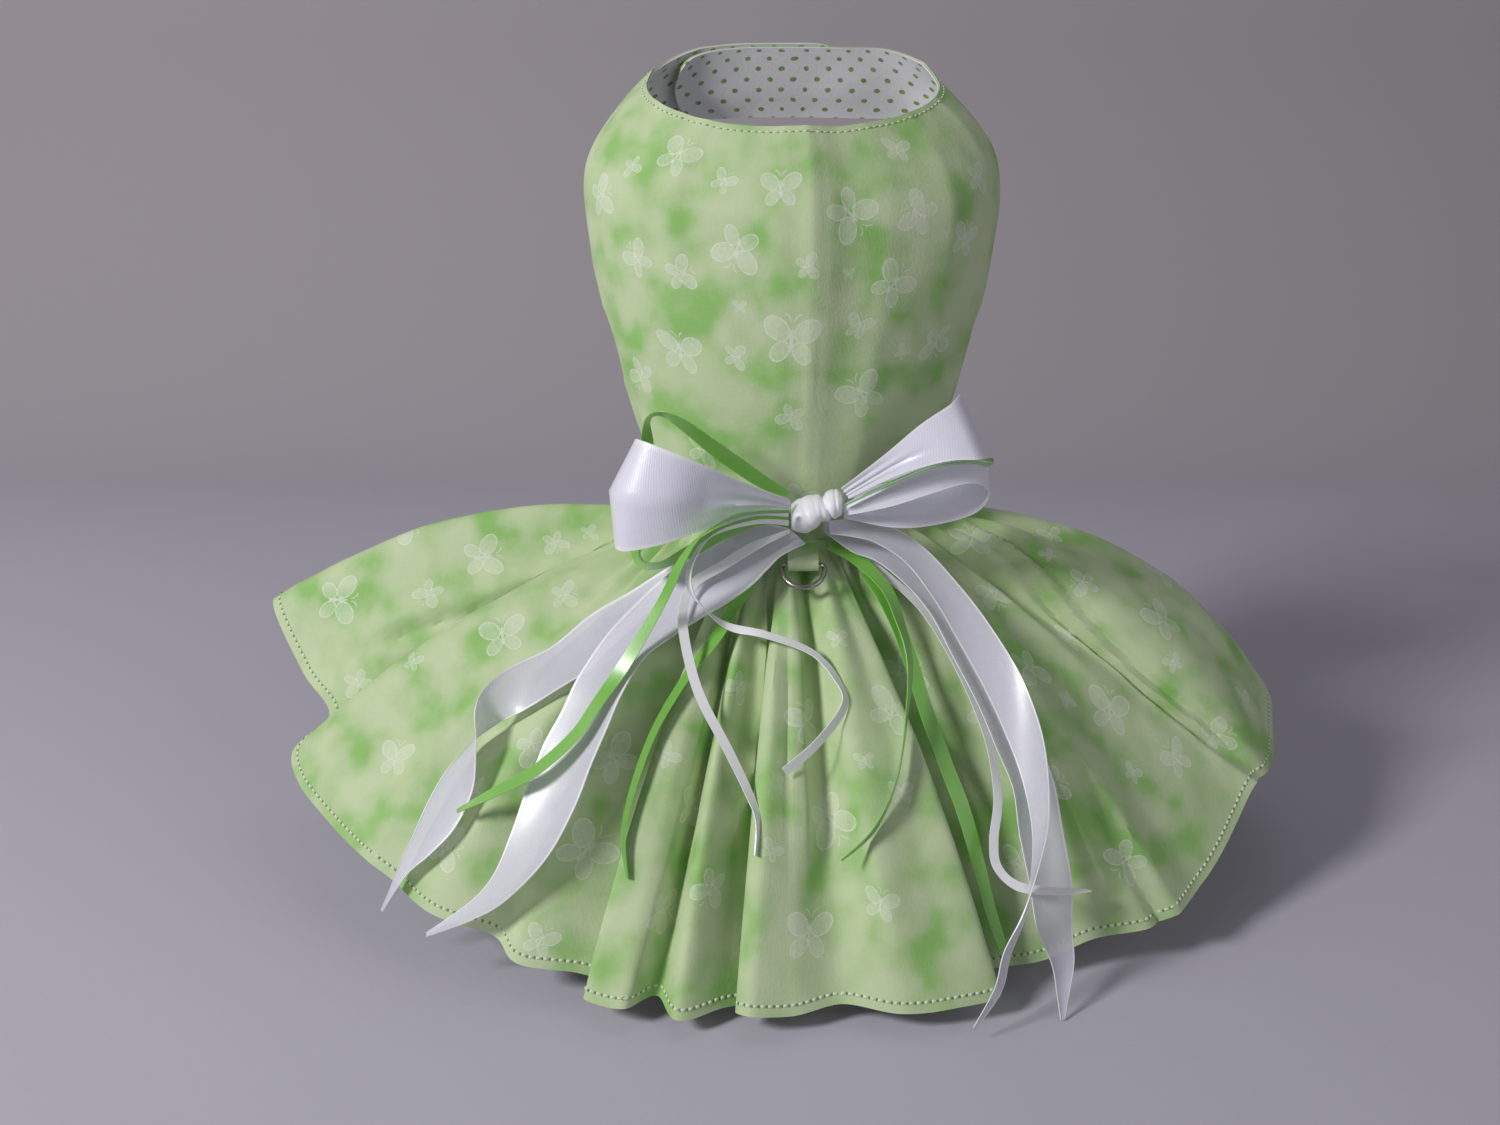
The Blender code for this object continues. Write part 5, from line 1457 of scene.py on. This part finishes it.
class DRESS_OT_skirt(BuildOperator):
    """Makes the gathered skirt and its stitched hem"""
    bl_idname = "dress.skirt"
    bl_label = "Skirt"

    def build(self, sizes, colours):
        front = printed_cotton("skirt_print", sizes, colours)
        reverse = printed_cotton("skirt_print_reverse", sizes, colours, washed=0.35)
        skirt = dress_piece(make_skirt([front, reverse]), "printed_cotton", "skirt")
        hem = sew("hem", "hem_stitching", hem_line(), sizes, colours, HEM_STITCH_WIDTH)


class DRESS_OT_bow(BuildOperator):
    """Makes the bow's knot, loops and hanging ends"""
    bl_idname = "dress.bow"
    bl_label = "Bow"

    def build(self, sizes, colours):
        firm = satin("wide_white_satin", colours.white_satin, dark=0.9, roughness=0.3)
        sheer = satin("sheer_white_satin", colours.white_satin, dark=0.93, roughness=0.34, alpha=0.56)
        knot = satin("knot_satin", colours.white_satin, dark=0.9, roughness=0.42, gloss=0.12)
        dress_piece(make_knot([knot]), "white_satin", "bow_knot")
        for name, rows in (("left", LOOP_LEFT), ("right_upper", LOOP_RIGHT_UPPER),
                           ("right_lower", LOOP_RIGHT_LOWER)):
            piece = make_ribbon("loop_satin_" + name, [firm], air_stations(rows), WIDE_FINER,
                                pleats=LOOP_PLEATS[name], creased=name == "left")
            dress_piece(piece, "white_satin", "bow_loop_" + name)
            declare_ribbon(air_stations(rows))
        for name, air, laid in (("left_front", TAIL_LEFT_FRONT_AIR, TAIL_LEFT_FRONT),
                                ("left_back", (), TAIL_LEFT_BACK),
                                ("right_front", TAIL_RIGHT_FRONT_AIR, TAIL_RIGHT_FRONT),
                                ("right_back", TAIL_RIGHT_BACK_AIR, TAIL_RIGHT_BACK)):
            stations = joined_stations(air, laid)
            piece = make_ribbon("tail_satin_" + name, [sheer], stations, WIDE_FINER, CUP)
            dress_piece(piece, "white_satin", "tail_" + name)
            declare_ribbon(stations)


class DRESS_OT_leash_ring(BuildOperator):
    """Makes the leash ring and the tab that holds it"""
    bl_idname = "dress.leash_ring"
    bl_label = "Leash ring"

    def build(self, sizes, colours):
        front = printed_cotton("tab_print", sizes, colours)
        tab = dress_piece(make_tab([front]), "printed_cotton", "dring_tab")
        wire = nickel_wire("nickel_wire", colours.nickel)
        dress_piece(make_ring(wire), "ring_metal", "d_ring", body="ring")


class DRESS_OT_studio(BuildOperator):
    """Makes the floor, the backdrop and the soft lights"""
    bl_idname = "dress.studio"
    bl_label = "Studio"

    def build(self, sizes, colours):
        floor = CAD_BOX[0][2] / MM - FLOOR_GAP
        profile = [(FLOOR_FRONT, floor), (FLOOR_BACK, floor)]
        for a in range(6, 91, 6):
            turn = math.radians(a)
            profile.append((FLOOR_BACK + SWEEP_BEND * math.sin(turn),
                            floor + SWEEP_BEND * (1 - math.cos(turn))))
        profile.append((FLOOR_BACK + SWEEP_BEND, floor + WALL_TOP))
        mesh = new_mesh()
        add_grid(mesh, [[Vector((x, y, z)) for x in (-SWEEP_HALF_WIDTH, 0.0, SWEEP_HALF_WIDTH)]
                        for y, z in profile])
        paper = studio_paper("studio_paper", colours.studio, colours.wall)
        stage = add_piece("studio_sweep", mesh, [paper])
        for name, place, size, power, light_colour in LIGHTS:
            data = bpy.data.lights.new(name, "AREA")
            data.shape = "DISK"
            data.size, data.energy, data.color = size, power, light_colour
            light = put(name, data)
            light.location = place
            light.rotation_euler = (Vector(LIGHTS_AIM) - light.location).to_track_quat("-Z", "Y").to_euler()
        world = bpy.data.worlds.new("studio")
        world.use_nodes = True
        background = world.node_tree.nodes["Background"].inputs
        background["Color"].default_value = AMBIENT_COLOUR
        background["Strength"].default_value = AMBIENT_STRENGTH
        bpy.context.scene.world = world
        bpy.context.scene.view_settings.view_transform = "Standard"


PIECES = (DRESS_OT_camera, DRESS_OT_narrow_ribbons, DRESS_OT_bodice, DRESS_OT_skirt, DRESS_OT_bow,
          DRESS_OT_leash_ring, DRESS_OT_studio)


class DRESS_PT_panel(bpy.types.Panel):
    """Lists the dress's pieces, sizes and colours"""
    bl_idname = "DRESS_PT_panel"
    bl_label = "Dog dress"
    bl_space_type = "VIEW_3D"
    bl_region_type = "UI"
    bl_category = "Dog dress"

    def draw(self, context):
        for operator in PIECES:
            self.layout.operator(operator.bl_idname)
        for group in (context.scene.dress_sizes, context.scene.dress_colours):
            for name in group.__annotations__:
                self.layout.prop(group, name)


CLASSES = (DressSizes, DressColours) + PIECES + (DRESS_PT_panel,)


def register():
    for made in CLASSES:
        bpy.utils.register_class(made)
    bpy.types.Scene.dress_sizes = PointerProperty(type=DressSizes)
    bpy.types.Scene.dress_colours = PointerProperty(type=DressColours)


def unregister():
    del bpy.types.Scene.dress_colours
    del bpy.types.Scene.dress_sizes
    for made in reversed(CLASSES):
        bpy.utils.unregister_class(made)


def main():
    register()
    bpy.ops.dress.camera()
    bpy.ops.dress.narrow_ribbons()
    bpy.ops.dress.bodice()
    bpy.ops.dress.skirt()
    bpy.ops.dress.bow()
    bpy.ops.dress.leash_ring()
    bpy.ops.dress.studio()


if __name__ == "__main__":
    main()
